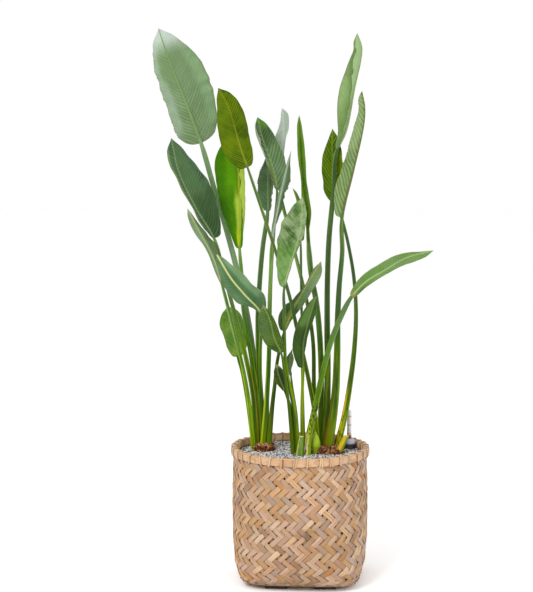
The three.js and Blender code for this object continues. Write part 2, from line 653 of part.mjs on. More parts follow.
{
  const radius = TUBE_RADIUS;
  const bore = radius - 1.2;
  const outside = [[bore, 60], [radius, 60], [radius, 527], [radius - 2, 531], [0, 532]];
  const inside = [[0, 530], [bore, 528], [bore, 60]];
  addPiece("gauge_tube", standing([...outside, ...inside], 12), material(0xd5d8d6, 0.3));
  const float = [[0, 64], [4.5, 64], [4.5, 120], [1.2, 124], [1.2, 500], [0, 500]];
  addPiece("gauge_float", standing(float, 8), material(0xc23a2a, 0.5));
  const inner = radius + GAP;
  const low = GRAVEL_TOP + GAP;
  const rise = 14;
  const collar = [[inner, low], [20.5, low], [20.5, low + rise - 1], [19.5, low + rise], [inner, low + rise]];
  collar.push([inner, low]);
  addPiece("gauge_collar", standing(collar, 20), material(0x35333a, 0.5));
  const top = low + rise + GAP;
  const dome = [[inner, top], [20, top], [18.5, top + 8], [14, top + 15], [inner + 1, top + 19]];
  dome.push([inner, top + 19], [inner, top]);
  addPiece("gauge_dome", standing(dome, 20), material(0xa9a3c4, 0.35));
}

// The origin is under the middle of the whole plant.
const middle = new THREE.Box3().setFromObject(pieces, true).getCenter(new THREE.Vector3());
pieces.position.set(-middle.x, -middle.y, 0);

export default group;
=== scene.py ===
"""A potted bird of paradise in a twill-woven bamboo basket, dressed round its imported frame.

All lengths are metres. The front of the plant faces -Y, and +Z is up.
"""
import json
import math

import bpy
import numpy as np
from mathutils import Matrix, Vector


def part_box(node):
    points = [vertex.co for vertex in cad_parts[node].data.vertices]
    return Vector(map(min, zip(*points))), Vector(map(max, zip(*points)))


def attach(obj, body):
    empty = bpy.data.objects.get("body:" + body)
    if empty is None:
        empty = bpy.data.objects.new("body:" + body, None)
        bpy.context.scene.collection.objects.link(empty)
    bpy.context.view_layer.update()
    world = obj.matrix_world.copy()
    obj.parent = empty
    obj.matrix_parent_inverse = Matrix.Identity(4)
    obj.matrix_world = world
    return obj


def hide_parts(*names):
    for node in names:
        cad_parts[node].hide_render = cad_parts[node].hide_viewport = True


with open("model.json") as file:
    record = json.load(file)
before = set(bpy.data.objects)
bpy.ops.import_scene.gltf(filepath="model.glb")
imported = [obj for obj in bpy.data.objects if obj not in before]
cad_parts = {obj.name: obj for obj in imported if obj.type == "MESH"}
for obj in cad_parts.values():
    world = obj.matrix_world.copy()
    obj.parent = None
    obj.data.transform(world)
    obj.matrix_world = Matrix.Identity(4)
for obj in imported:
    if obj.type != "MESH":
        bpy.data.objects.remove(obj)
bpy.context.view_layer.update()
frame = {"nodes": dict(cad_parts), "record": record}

TAU = 2 * math.pi


# ---------------------------------------------------------------- numbers and curves


def box_middle(node):
    low, high = (np.array(corner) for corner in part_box(node))
    return (low + high) / 2


def once_round(count):
    """Angles spaced evenly round a circle."""
    return np.linspace(0, TAU, count, endpoint=False)


def ramp(value, low, high):
    """Smooth step from 0 at low to 1 at high."""
    share = np.clip((value - low) / (high - low), 0, 1)
    return share * share * (3 - 2 * share)


def hump(value, middle, spread):
    """Bell curve of height 1: e to the power of minus the square of the distance over the spread."""
    return np.exp(-((value - middle) / spread) ** 2)


def squared(wave, power):
    """Keeps the sign and raises the size to a power below 1, which turns a circle's sine and cosine into
    those of a rounded rectangle."""
    return np.sign(wave) * np.abs(wave) ** power


def unit(vectors):
    return vectors / np.maximum(np.linalg.norm(vectors, axis=-1, keepdims=True), 1e-9)


def through(values, places, at):
    """Cubic Hermite curve through rows of values at places, read at new places. Its slopes are central
    differences."""
    slopes = np.gradient(values, places, axis=0)
    i = np.clip(np.searchsorted(places, at) - 1, 0, len(places) - 2)
    span = places[i + 1] - places[i]
    f = (at - places[i]) / span
    shape = (-1,) + (1,) * (values.ndim - 1)
    f, span = f.reshape(shape), span.reshape(shape)
    start = values[i] * (1 + 2 * f) * (1 - f) ** 2 + slopes[i] * span * f * (1 - f) ** 2
    end = values[i + 1] * f * f * (3 - 2 * f) + slopes[i + 1] * span * f * f * (f - 1)
    return start + end


def waves(rng, places, length, count=5):
    """A smooth random wave of about unit height: a sum of sines with random phases round one wavelength."""
    total = np.zeros_like(places, dtype=float)
    for _ in range(count):
        total += np.sin(places * TAU / (length * rng.uniform(0.6, 1.7)) + rng.uniform(0, TAU))
    return total / math.sqrt(count)


def round_axis(axis, radius, turn, height):
    """Points at a radius from an upright axis, at a turn and a height. The three spread over each other."""
    x, y = axis[0] + radius * np.cos(turn), axis[1] + radius * np.sin(turn)
    return np.stack(np.broadcast_arrays(x, y, height), -1)


def carried(section, middle, across, face, width, thickness):
    """Grid of a flat section carried along a path: its first numbers go across it times the half width, and
    its second ones along its face times the thickness."""
    wide = np.broadcast_to(width, len(middle))[:, None] * section[:, 0]
    deep = thickness * section[:, 1]
    return middle[:, None] + across[:, None] * wide[..., None] + face[:, None] * deep[:, None]


# ---------------------------------------------------------------- meshes


def ring_quads(rows, around):
    """Quads of a grid of rows by points around that is wrapped round both ways."""
    i, j = np.meshgrid(np.arange(rows), np.arange(around), indexing="ij")
    here, ahead, beside = i * around, (i + 1) % rows * around, (j + 1) % around
    return np.stack([here + j, here + beside, ahead + beside, ahead + j], -1).reshape(-1, 4)


def tube_faces(rows, around):
    """Quads of a grid wrapped round one way, and a fan of triangles on each end. Each fan's middle is one of
    the two points that follow the grid's own."""
    j = np.arange(around)
    beside, last = (j + 1) % around, (rows - 1) * around
    foot = np.stack([np.full(around, rows * around), beside, j], -1)
    tip = np.stack([np.full(around, rows * around + 1), last + j, last + beside], -1)
    return [ring_quads(rows, around)[:last], np.concatenate([foot, tip])]


def in_a_row(grid, ring):
    """A grid's points or values in one row. Unless it is a ring, the middles of its end rows follow."""
    ends = [] if ring else [grid[0].mean(0)[None], grid[-1].mean(0)[None]]
    return np.concatenate([grid.reshape(-1, *grid.shape[2:]), *ends])


class Surface:
    """Points, faces and named values per point, gathered part by part into one mesh."""

    def __init__(self):
        self.points, self.faces, self.materials, self.values, self.count = [], [], [], {}, 0

    def add(self, points, faces, material=0, **values):
        """Adds points with lists of face arrays, each array holding faces with one number of corners."""
        for corners in faces:
            self.faces.append(corners + self.count)
            self.materials.append(np.full(len(corners), material))
        for name, value in values.items():
            self.values.setdefault(name, []).append((self.count, value))
        self.points.append(points)
        self.count += len(points)

    def skin(self, grid, material=0, ring=False, **values):
        """Adds a grid of rows by points around, wrapped round. Its ends are capped, or a ring's are joined. A
        value smaller than the grid spreads over it."""
        shape = grid.shape[:2]
        values = {name: in_a_row(np.broadcast_to(value, shape), ring) for name, value in values.items()}
        faces = [ring_quads(*shape)] if ring else tube_faces(*shape)
        self.add(in_a_row(grid, ring), faces, material, **values)

    def piece(self, name, materials, node, smooth=True):
        """Makes the mesh object, which rides on the body and stands for a CAD node."""
        mesh = bpy.data.meshes.new(name)
        points = np.concatenate(self.points)
        corners = np.concatenate([f.ravel() for f in self.faces]).astype(np.int32)
        sizes = np.concatenate([np.full(len(f), f.shape[1]) for f in self.faces])
        starts = np.concatenate([[0], np.cumsum(sizes)[:-1]]).astype(np.int32)
        mesh.vertices.add(len(points))
        mesh.vertices.foreach_set("co", points.ravel())
        mesh.loops.add(len(corners))
        mesh.loops.foreach_set("vertex_index", corners)
        mesh.polygons.add(len(sizes))
        mesh.polygons.foreach_set("loop_start", starts)
        mesh.polygons.foreach_set("material_index", np.concatenate(self.materials).astype(np.int32))
        mesh.polygons.foreach_set("use_smooth", np.full(len(sizes), smooth))
        for label, parts in self.values.items():
            whole = np.zeros(len(points), np.float32)
            for start, value in parts:
                whole[start:start + len(value)] = value
            mesh.attributes.new(label, "FLOAT", "POINT").data.foreach_set("value", whole)
        mesh.update(calc_edges=True)
        for material in materials:
            mesh.materials.append(material)
        made = bpy.data.objects.new(name, mesh)
        bpy.context.scene.collection.objects.link(made)
        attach(made, "root")
        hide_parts(node)


# ---------------------------------------------------------------- shader maths


class Signal:
    """A shader value that Python's operators work on, each adding a Math node."""

    def __init__(self, finish, socket):
        self.finish, self.socket = finish, socket

    def math(self, operation, *others):
        return self.finish.node("ShaderNodeMath", {"operation": operation}, dict(enumerate((self, *others))))

    def __add__(self, other):
        return self.math("ADD", other)

    def __mul__(self, other):
        return self.math("MULTIPLY", other)

    def __sub__(self, other):
        return self.math("SUBTRACT", other)

    def __rsub__(self, other):
        return self.finish.node("ShaderNodeMath", {"operation": "SUBTRACT"}, {0: other, 1: self})

    def __pow__(self, other):
        return self.math("POWER", other)

    __radd__, __rmul__ = __add__, __mul__

    def size(self):
        return self.math("ABSOLUTE")

    def sine(self):
        return self.math("SINE")

    def step(self, low, high):
        """Smooth step from 0 at low to 1 at high, or the other way round if low is above high."""
        settings = {"interpolation_type": "SMOOTHSTEP"}
        sockets = {"Value": self, "From Min": min(low, high), "From Max": max(low, high)}
        risen = self.finish.node("ShaderNodeMapRange", settings, sockets)
        return risen if low < high else 1 - risen

    def within(self, low, high, soft):
        """1 between low and high and 0 outside, with steps as wide as soft to each side of both."""
        return self.step(low - soft, low + soft) * self.step(high + soft, high - soft)


STUDIO = 0.66  # share of a screen colour that belongs to the surface; the studio's light gives the rest


def colour(code):
    """Surface colour in linear light, from the six-digit screen colour that it shows in the studio."""
    channels = np.array([int(code[i:i + 2], 16) for i in (0, 2, 4)]) / 255
    linear = np.where(channels <= 0.04045, channels / 12.92, ((channels + 0.055) / 1.055) ** 2.4)
    return tuple(float(c) for c in linear * STUDIO)


class Finish:
    """A material in the making. Its colours are given by their six-digit codes."""

    def __init__(self, name):
        self.material = bpy.data.materials.new(name)
        self.material.use_nodes = True
        self.tree = self.material.node_tree
        self.tree.nodes.clear()

    def node(self, kind, settings=None, sockets=None, output=0):
        """Adds a node: its settings first, then the values or links of its sockets."""
        made = self.tree.nodes.new(kind)
        for key, value in (settings or {}).items():
            if key == "stops":
                elements = made.color_ramp.elements
                while len(elements) < len(value):
                    elements.new(0.5)
                for element, (place, code) in zip(elements, value):
                    element.position, element.color = place, (*colour(code), 1)
            else:
                setattr(made, key, value)
        for key, value in (sockets or {}).items():
            if isinstance(value, Signal):
                self.tree.links.new(value.socket, made.inputs[key])
            elif isinstance(value, str):
                made.inputs[key].default_value = (*colour(value), 1)
            else:
                made.inputs[key].default_value = value
        return Signal(self, made.outputs[output]) if made.outputs else None

    def values(self, *names):
        """The mesh's named values."""
        return [self.node("ShaderNodeAttribute", {"attribute_name": name}, output="Fac") for name in names]

    def place(self):
        return self.node("ShaderNodeTexCoord", output="Object")

    def vector(self, x, y, z):
        return self.node("ShaderNodeCombineXYZ", None, {0: x, 1: y, 2: z})

    def split(self, axis):
        """The place along an axis."""
        return self.node("ShaderNodeSeparateXYZ", None, {0: self.place()}, output=axis)

    def stretched(self, vector, scale):
        return self.node("ShaderNodeVectorMath", {"operation": "MULTIPLY"}, {0: vector, 1: scale})

    def noise(self, vector, scale, detail=2.0, roughness=0.5, distortion=0.0):
        sockets = {"Vector": vector, "Scale": scale, "Detail": detail}
        sockets.update({"Roughness": roughness, "Distortion": distortion})
        return self.node("ShaderNodeTexNoise", None, sockets)

    def cells(self, vector, scale):
        """Distance to the nearest of scattered points."""
        return self.node("ShaderNodeTexVoronoi", None, {"Vector": vector, "Scale": scale})

    def tones(self, share, stops):
        """Colour between those at the stops."""
        return self.node("ShaderNodeValToRGB", {"stops": stops}, {0: share})

    def mix(self, share, first, second):
        """Colour that goes from first to second as share goes from 0 to 1."""
        settings = {"data_type": "RGBA", "clamp_factor": True}
        return self.node("ShaderNodeMix", settings, {0: share, 6: first, 7: second}, output=2)

    def over(self, base, *layers):
        """A colour with layers laid over it in turn, each a share and the colour that it goes to."""
        for share, code in layers:
            base = self.mix(share, base, code)
        return base

    def tinted(self, base, value, saturation=1.0):
        sockets = {"Hue": 0.5, "Saturation": saturation, "Value": value, "Color": base}
        return self.node("ShaderNodeHueSaturation", None, sockets)

    def done(self, base, roughness, height=None, depth=0.001, gloss=0.5, coat=0.0):
        """Ends the material in a Principled surface, with bump from a height in depth units."""
        inputs = {"Base Color": base, "Roughness": roughness}
        inputs.update({"Specular IOR Level": gloss, "Coat Weight": coat})
        if height is not None:
            sockets = {"Height": height, "Distance": depth, "Strength": 1.0}
            inputs["Normal"] = self.node("ShaderNodeBump", None, sockets)
        surface = self.node("ShaderNodeBsdfPrincipled", None, inputs)
        self.node("ShaderNodeOutputMaterial", None, {"Surface": surface})
        return self.material


# ---------------------------------------------------------------- leaves

STALK_RINGS = 8  # rings of the CAD leaf along its stalk
ROUNDING = 0.06  # share of a blade that rounds off into its stalk
POINTED = 0.09  # share of a blade that narrows to its tip
HALF_COLUMNS = 13  # points across half a blade
SHEET_HALF = 0.0006  # half thickness at a blade's midrib, on top of its edge's
EDGE_HALF = 0.00012  # half thickness at its edge
SLOW_WAVE = 0.0025  # height of the slow waves of an edge, which lie under its look's own
TEARS_FROM = 0.55  # place across a half from which tears reach
LOBE_SHARE = 0.16  # share of a blade over which its lobes fade out
STALK_ROWS = 60  # rings along a stalk
RIB_ROWS = 44  # rings along a midrib
TUBE_AROUND = 14
STALK_OVAL = 0.62  # a stalk's depth over its width
MIDRIB_WIDE = 0.62  # width of the midrib's start over the stalk's
GROOVE, MARGIN = 0.34, 0.1  # depth and height, as shares of the stalk's radius
FINE_PITCH = 0.0031  # between the finest veins
VEIN_CURVE = 2.2  # how fast a vein turns ahead, per metre


def cad_rings(node):
    """Rings of a CAD stem or leaf from foot to top, each of eight corners from the front, round by the right.
    The foot's corners are the lowest ones. A corner's next one ahead is its only neighbour that is on no
    ring yet, taken in an order that starts at the blade's edges, corners 2 and 6."""
    mesh = frame["nodes"][node].data
    raw = np.zeros(len(mesh.vertices) * 3)
    mesh.vertices.foreach_get("co", raw)
    points, of = np.unique(np.round(raw.reshape(-1, 3), 6), axis=0, return_inverse=True)
    corners = np.zeros(len(mesh.loops), int)
    mesh.loops.foreach_get("vertex_index", corners)
    near = [set() for _ in points]
    for triangle in of.ravel()[corners].reshape(-1, 3).tolist():
        for corner in triangle:
            near[corner] |= set(triangle)
    foot = np.argsort(points[:, 2])[:8]
    out = points[foot] - points[foot].mean(0)
    turn = (np.arctan2(out[:, 0], -out[:, 1]) + 0.4) % TAU
    rings = [foot[np.argsort(turn)].tolist()]
    seen = set(rings[0])
    while len(seen) < len(points):
        ahead = {}
        for k in (2, 6, 1, 3, 5, 7, 0, 4):
            ahead[k] = (near[rings[-1][k]] - seen - set(ahead.values())).pop()
        rings.append([ahead[k] for k in range(8)])
        seen |= set(rings[-1])
    return points[np.array(rings)]


class LeafLines:
    """A leaf's guiding lines, smooth through the CAD rings: the spine from foot to tip, and the blade's
    crease and edge on each side as offsets from the midrib."""

    def __init__(self, node):
        rings = cad_rings(node)
        front, back = rings[:, 0], rings[:, 4]
        self.spine, self.front = (front + back) / 2, unit(front - back)
        steps = np.linalg.norm(np.diff(self.spine, axis=0), axis=1)
        self.length = np.concatenate([[0], np.cumsum(steps)])
        self.base = self.length[STALK_RINGS - 1]
        self.blade = self.length[-1] - self.base
        self.halves = np.linalg.norm(rings[:STALK_RINGS, 2] - rings[:STALK_RINGS, 6], axis=1) / 2
        blades = rings[STALK_RINGS:]
        rib = self.spine[STALK_RINGS:]
        self.shares = (self.length[STALK_RINGS:] - self.base) / self.blade
        self.sides = []
        for edge, faces in ((blades[:, 6], (5, 7)), (blades[:, 2], (1, 3))):
            self.sides.append((blades[:, faces].mean(1) - rib, edge - rib))

    def at(self, length):
        """Spine point, way ahead and front way at lengths from the foot."""
        step = 1e-3
        before, point, after = (through(self.spine, self.length, length + way) for way in (-step, 0, step))
        ahead = unit(after - before)
        front = through(self.front, self.length, length)
        return point, ahead, unit(front - ahead * np.sum(front * ahead, axis=1, keepdims=True))

    def side(self, which, share):
        """Crease and edge offsets at shares of the blade. Below the first CAD ring they go on half as
        steeply. They round off at the base, narrow towards the tip and round off over its last sixtieth."""
        held = np.clip(share, self.shares[0], 1)
        below = np.clip((self.shares[0] - share) / self.shares[0], 0, 1)[:, None]
        rounded = np.sqrt(1 - (1 - np.minimum(share / ROUNDING, 1)) ** 2)
        pointed = 1 - 0.8 * np.clip(share / POINTED - 1 / POINTED + 1, 0, 1) ** 2
        rounded = (rounded * pointed * np.sqrt(1 - np.clip(share * 60 - 59, 0, 0.97) ** 2))[:, None]
        lines = []
        for line in self.sides[which]:
            slope = (line[1] - line[0]) / (self.shares[1] - self.shares[0]) * self.shares[0]
            lines.append((through(line, self.shares, held) - 0.5 * slope * below) * np.maximum(rounded, 0.02))
        return lines


def torn_edge(rng, length, amount):
    """How much of the half width is missing: sharp-bottomed notches of random depth, a few millimetres apart.
    A whole edge takes three draws and has none."""
    if amount == 0:
        rng.uniform(0, 1, 3)
        return np.zeros_like(length)
    notch = np.abs(waves(rng, length, 0.016)) * 0.5 + np.abs(waves(rng, length, 0.05)) * 0.5
    return amount * np.clip(notch, 0, 1.2)


def blade_sheet(lines, look, rng):
    """Thin closed sheet of the blade. Across each half the surface goes from the midrib towards the crease
    and bends softly on to the edge. Its width is times 1, plus the look's full near the base, plus its blunt
    at the tip, less its slim. The edge waves and is nibbled where the blade is torn, ridges rumple each half,
    and at the base each edge reaches back as a lobe. The sheet thins from the midrib to the edges."""
    step = np.linspace(0, 1, look["rows"])
    share = 0.2 * step + 0.4 * (1 - np.cos(np.pi * step))
    length = lines.base + lines.blade * share
    rib, ahead, _ = lines.at(length)
    belly = np.sin(np.pi * share).clip(0)
    s = np.linspace(0, 1, HALF_COLUMNS)[None, :] ** 0.9
    halves = []
    for which, sign in ((0, -1), (1, 1)):
        crease, edge = lines.side(which, share)
        first, rest = np.linalg.norm(crease, axis=1), np.linalg.norm(edge - crease, axis=1)
        width = first + rest
        at = (first / np.maximum(width, 1e-6)).clip(0.05, 0.95)[:, None]
        sharp = np.sum(unit(crease) * unit(edge - crease), axis=1)[:, None]
        soft = 0.07 + (np.minimum(at, 1 - at) - 0.07) * ramp(sharp, -0.3, 0.6)
        late = np.where(s < at - soft, 0, np.where(s > at + soft, s - at, (s - at + soft) ** 2 / (4 * soft)))
        early = s - late
        full = 1 + look["full"][which] * hump(share, 0.08, 0.1)
        full = full + look["blunt"] * hump(share, 1, 0.08) - look["slim"]
        crease, edge = crease * full[:, None], edge * full[:, None]
        reach = 1 - torn_edge(rng, length, look["torn"][which])[:, None] * ramp(s, TEARS_FROM, 1.0)
        out = (early / at * reach)[..., None] * crease[:, None]
        out = out + (late / (1 - at) * reach)[..., None] * (edge - crease)[:, None]
        broad = np.minimum(width / 0.03, 1)[:, None]
        wave = waves(rng, length, 0.05) * look["wave"] + waves(rng, length, 0.17) * SLOW_WAVE
        lift = (wave * np.sqrt(belly))[:, None] * s ** 3 * broad
        ridges = waves(rng, length[:, None] - s * width[:, None], 0.03) * look["rumple"]
        lift = lift + ridges * np.sin(np.pi * s) * belly[:, None] * broad
        lobe = look["lobe"][which] * (1 - ramp(share, 0, LOBE_SHARE))[:, None] * s ** 1.5 * broad
        normal = unit(np.cross(np.gradient(rib, axis=0), unit(edge)) * sign)
        half = rib[:, None] + out + lift[..., None] * normal[:, None] - lobe[..., None] * ahead[:, None]
        halves.append((half, sign * s * width[:, None], np.broadcast_to(s, half.shape[:2])))
    middle, signed, closeness = (np.concatenate([left[:, ::-1], right[:, 1:]], 1)
                                 for left, right in zip(*halves))
    normal = unit(np.cross(np.gradient(middle, axis=1), np.gradient(middle, axis=0)))
    thick = SHEET_HALF * (1 - closeness ** 4)[..., None] + EDGE_HALF
    upper, lower = middle + normal * thick, middle - normal * thick
    order = np.arange(2 * HALF_COLUMNS - 1)
    wrapped = np.concatenate([order, order[::-1]])
    return np.concatenate([upper, lower[:, ::-1]], 1), {
        "across": signed[:, wrapped],
        "edge": closeness[:, wrapped],
        "span": (closeness * np.sign(signed))[:, wrapped],
        "along": (length - lines.base)[:, None],
        "share": share[:, None],
        "under": np.repeat([0.0, 1.0], len(order)),
    }


def rib_tube(lines, look):
    """Tube from the foot of the stalk to the tip. It is an oval with a groove along its front and a thin
    margin beside the groove, and in the blade it shrinks to the midrib, standing out at the back."""
    stalk_rows = np.linspace(0, lines.base, STALK_ROWS)
    rows = np.concatenate([stalk_rows, lines.base + lines.blade * np.linspace(0.012, 0.985, RIB_ROWS)])
    point, ahead, front = lines.at(rows)
    right = np.cross(ahead, front)
    stalk = through(lines.halves, lines.length[:STALK_RINGS], np.minimum(rows, lines.base))
    share = np.clip((rows - lines.base) / lines.blade, 0, 1)
    joined = ramp(rows, lines.base - 0.05, lines.base + 0.02)
    midrib = lines.halves[-1] * MIDRIB_WIDE * (1 - share) ** 1.1 + 0.0007
    wide = np.where(rows < lines.base, stalk * (1 - (1 - MIDRIB_WIDE) * joined), midrib)
    deep = wide * (STALK_OVAL + 0.15 * joined)
    turn = once_round(TUBE_AROUND)
    bend = (turn + math.pi) % TAU - math.pi
    groove = GROOVE * hump(bend, 0, 0.42)
    margin = MARGIN * hump(np.abs(bend), 0.85, 0.25)
    radius = 1 + (margin - groove)[None, :] * (1 - joined)[:, None]
    sunk = (joined * deep * look["rib_sunk"])[:, None, None] * front[:, None]
    grid = (point[:, None] - sunk + right[:, None] * (wide[:, None] * radius * np.sin(turn))[..., None]
            + front[:, None] * (deep[:, None] * radius * np.cos(turn))[..., None])
    return grid, {"around": bend, "up": rows[:, None], "in_blade": share[:, None]}


def blade_finish(name, look, seed):
    """Veins leave the midrib aslant and curve forward to the edge. Colour lies between a deep and a light
    green by broad blotches and by vein, with a whitening that is partly a waxy coat and partly painted sheen,
    fades towards the tip, and painted patches, each between two shares of the blade and two places across
    it, from -1 at the left edge to 1. Some fades and patches are painted light and shade: highlights, sheen,
    and one half lit and the other shaded across a fold. The midrib, a thin margin and freckles lie over it,
    and the underside may be paler."""
    f = Finish(name)
    across, along, edge, share, span = f.values("across", "along", "edge", "share", "span")
    spot = f.vector(across, along, float(seed))
    out = across.size()
    drift = f.noise(spot, 16.0, 3.0) - 0.5
    phase = along - out * look["slant"] - out * out * VEIN_CURVE + drift * 0.024
    fine = (phase * (TAU / FINE_PITCH)).sine()
    broad = (phase * (TAU / look["pitch"])).sine()
    streak = f.noise(f.vector(phase * 110.0, out * 5.0, float(seed)), 1.3, 4.0, 0.65)
    vein = (broad * 0.5 + 0.5) ** 2.4 * (0.15 + streak.step(0.28, 0.72))
    blotch = f.noise(spot, look["blotch"], 4.0, 0.6, 0.4).step(0.34, 0.68)
    # Whitish patches towards dbe5d6, partly a waxy coat and partly painted sheen; they also roughen the
    # surface.
    bloom = f.noise(spot, 9.0, 3.0, 0.55).step(0.35, 0.75) * look["bloom"]
    deep, light = look["deep"], look["light"]
    shade = f.over(f.mix(0.12 + blotch * 0.4 + (streak - 0.5) * 0.7, deep, light),
                   (blotch * look["patchy"], look["patch"] or light),
                   (vein * look["veins"] * 0.9, light),
                   ((0.5 - broad * 0.5) ** 3 * look["veins"] * 0.5, deep),
                   ((fine * 0.5 + 0.5) * 0.08, light),
                   (bloom, "dbe5d6"))
    # Fades are the leaf's own colour changes and also painted highlights.
    for tint, low, high, strength in look["fades"]:
        shade = f.over(shade, (share.step(low, high) * strength, tint))
    # Patches are the leaf's own markings and also painted light and shade, such as one half lit and the other
    # shaded.
    ragged = (f.noise(spot, 40.0, 3.0, 0.6) - 0.5) * 0.16
    for tint, (low, high), (left, right), strength in look["patches"]:
        there = (share + ragged).within(low, high, 0.07) * (span + ragged).within(left, right, 0.13)
        shade = f.over(shade, (there * strength, tint))
    shade = f.tinted(shade, look["value"], look["saturation"])
    rim = (edge + f.noise(spot, 160.0, 2.0) * 0.02).step(*look["rim_from"])
    shade = f.over(shade, (out.step(0.0042, 0.0010) * look["rib_glow"], look["rib"]),
                   (rim * look["rim_share"], look["rim"]))
    if look["under"]:
        shade = f.mix(*f.values("under"), shade, f.mix(vein * 0.4, look["under"], light))
    freckle = f.cells(spot, 210.0).step(0.16, 0.05) * f.noise(spot, 30.0).step(0.62, 0.7)
    shade = f.over(shade, (freckle * look["freckles"], "5a4322"))
    height = vein * 0.6 + fine * 0.02 + f.noise(spot, 30.0, 2.0) * 0.35
    return f.done(shade, look["rough"] + bloom * 0.25, height, 0.0010, look["gloss"])


def stalk_finish(name, look, seed):
    """Long streaks of bright and deep green up the stalk, pale lines on the sheath's margins, a yellower
    foot, a haze higher up, painted patches between two lengths and two turns, and dark specks. The foot is
    more saturated than the rest, and in the blade the tube takes the midrib's colour."""
    f = Finish(name)
    around, up, in_blade = f.values("around", "up", "in_blade")
    spot = f.vector(around * 0.012, up * 0.10, float(seed))
    streak = f.noise(spot, 200.0, 3.0, 0.6).step(0.38, 0.62)
    long_ = f.noise(f.vector(around * 0.3, up * 1.2, float(seed)), 2.2, 3.0, 0.6)
    line = (around.size() - 0.85).size().step(0.22, 0.06) * f.noise(spot, 30.0).step(0.35, 0.6)
    foot = (up + f.noise(spot, 60.0) * 0.08).step(0.24, 0.05)
    shade = f.over(f.mix(streak, look["stalk_deep"], look["stalk"]),
                   (long_.step(0.53, 0.41) * 0.95, look["stalk_shade"]),
                   (long_.step(0.53, 0.64) * look["pale_share"], look["stalk_pale"]),
                   (line * 0.5, "b9c75c"),
                   (foot * look["foot_share"], look["foot"]),
                   (up.step(0.2, 0.6) * look["haze"], look["haze_colour"]))
    ragged = (f.noise(spot, 40.0, 3.0) - 0.5) * 0.5
    for tint, (low, high), (left, right), strength in look["stalk_patches"]:
        there = up.step(low - 0.015, low + 0.015) * (up + ragged * 0.1).step(high + 0.03, high - 0.03)
        there = there * (around + ragged).within(left, right, 0.12)
        shade = f.over(shade, (there * strength, tint))
    grit = f.vector(around * 0.012, up, float(seed))
    speck = f.cells(grit, 190.0).step(0.2, 0.08) * f.noise(grit, 24.0).step(0.56, 0.66)
    big = f.cells(f.vector(around * 0.014, up * 0.6, float(seed)), 105.0).step(0.42, 0.32)
    big = big * f.noise(grit, 9.0).step(0.32, 0.46) * up.step(0.26, 0.16)
    shade = f.over(shade, (speck * look["specks"], "4a3418"), (big * look["spots"], "2c1a12"))
    shade = f.tinted(shade, look["stalk_value"] * 1.04, 1.34 - up.step(0.15, 0.55) * 0.34)
    shade = f.over(shade, (in_blade.step(0.0, 0.06) * 0.85, look["rib"]))
    return f.done(shade, 0.42, streak * 0.5 + f.noise(spot, 90.0) * 0.5, 0.0005, gloss=0.12)


def leaf_piece(name, look, seed):
    """Blade and stalk in one mesh. The record's slot for the leaf is looked up, but the mesh is not given it.
    """
    lines = LeafLines(name)
    surface = Surface()
    for material, (grid, values) in enumerate((blade_sheet(lines, look, np.random.default_rng(seed)),
                                               rib_tube(lines, look))):
        surface.skin(grid, material, **values)
    materials = [blade_finish(name + "_blade", look, seed), stalk_finish(name + "_stalk", look, seed)]
    slot = next(row["material_slot"] for row in frame["record"]["subparts"] if row["node"] == name)
    surface.piece(name + "_grown", materials, name)


# What a leaf has unless its own look says otherwise. Pairs are for its left and right halves. A fade is a
# colour, the shares of the blade where it begins and is whole, and its strength. A patch is a colour, the
# shares and the places across that it lies between, and its strength. A stalk's patch lies between two
# lengths from its foot and two turns from its front, in radians. Besides the leaf's own markings, some
# fades and patches are painted light and shade: highlights, sheen, and one half lit and the other shaded
# across a fold.
PLAIN = dict(
    # Shape: rows of the blade's grid, what widens and narrows it, its lobes in metres, how its edges are torn
    # and wave, how its halves are rumpled, and how many of its own depths the midrib is sunk into it.
    rows=96, full=(0, 0), blunt=0.0, slim=0.0, lobe=(0.01, 0.01), torn=(0, 0), wave=0.0022, rumple=0.0004,
    rib_sunk=0.6,
    # Blade: slant, spacing and strength of the veins, blotches, whitening that is partly a waxy coat and
    # partly painted sheen, a paler underside, fades and patches.
    slant=0.85, pitch=0.0094, veins=0.5, blotch=13.0, patchy=0.0, patch=None, bloom=0.1, under=None,
    fades=(), patches=(), value=1.0, saturation=1.0, rough=0.45, gloss=0.16, freckles=0.3,
    # Midrib and margin.
    rib_glow=0.5, rim="a8b27a", rim_from=(0.975, 1.0), rim_share=0.5,
    # Stalk: its greens from mid to deep, shaded and pale, its foot, its haze, and its dark specks and spots.
    stalk="66852c", stalk_deep="3c5a10", stalk_shade="24440a", stalk_pale="8fae3c", pale_share=0.55,
    foot="93b414", foot_share=0.3, haze=0.4, haze_colour="587a48", specks=0.3, spots=0.0,
    stalk_value=1.0, stalk_patches=())
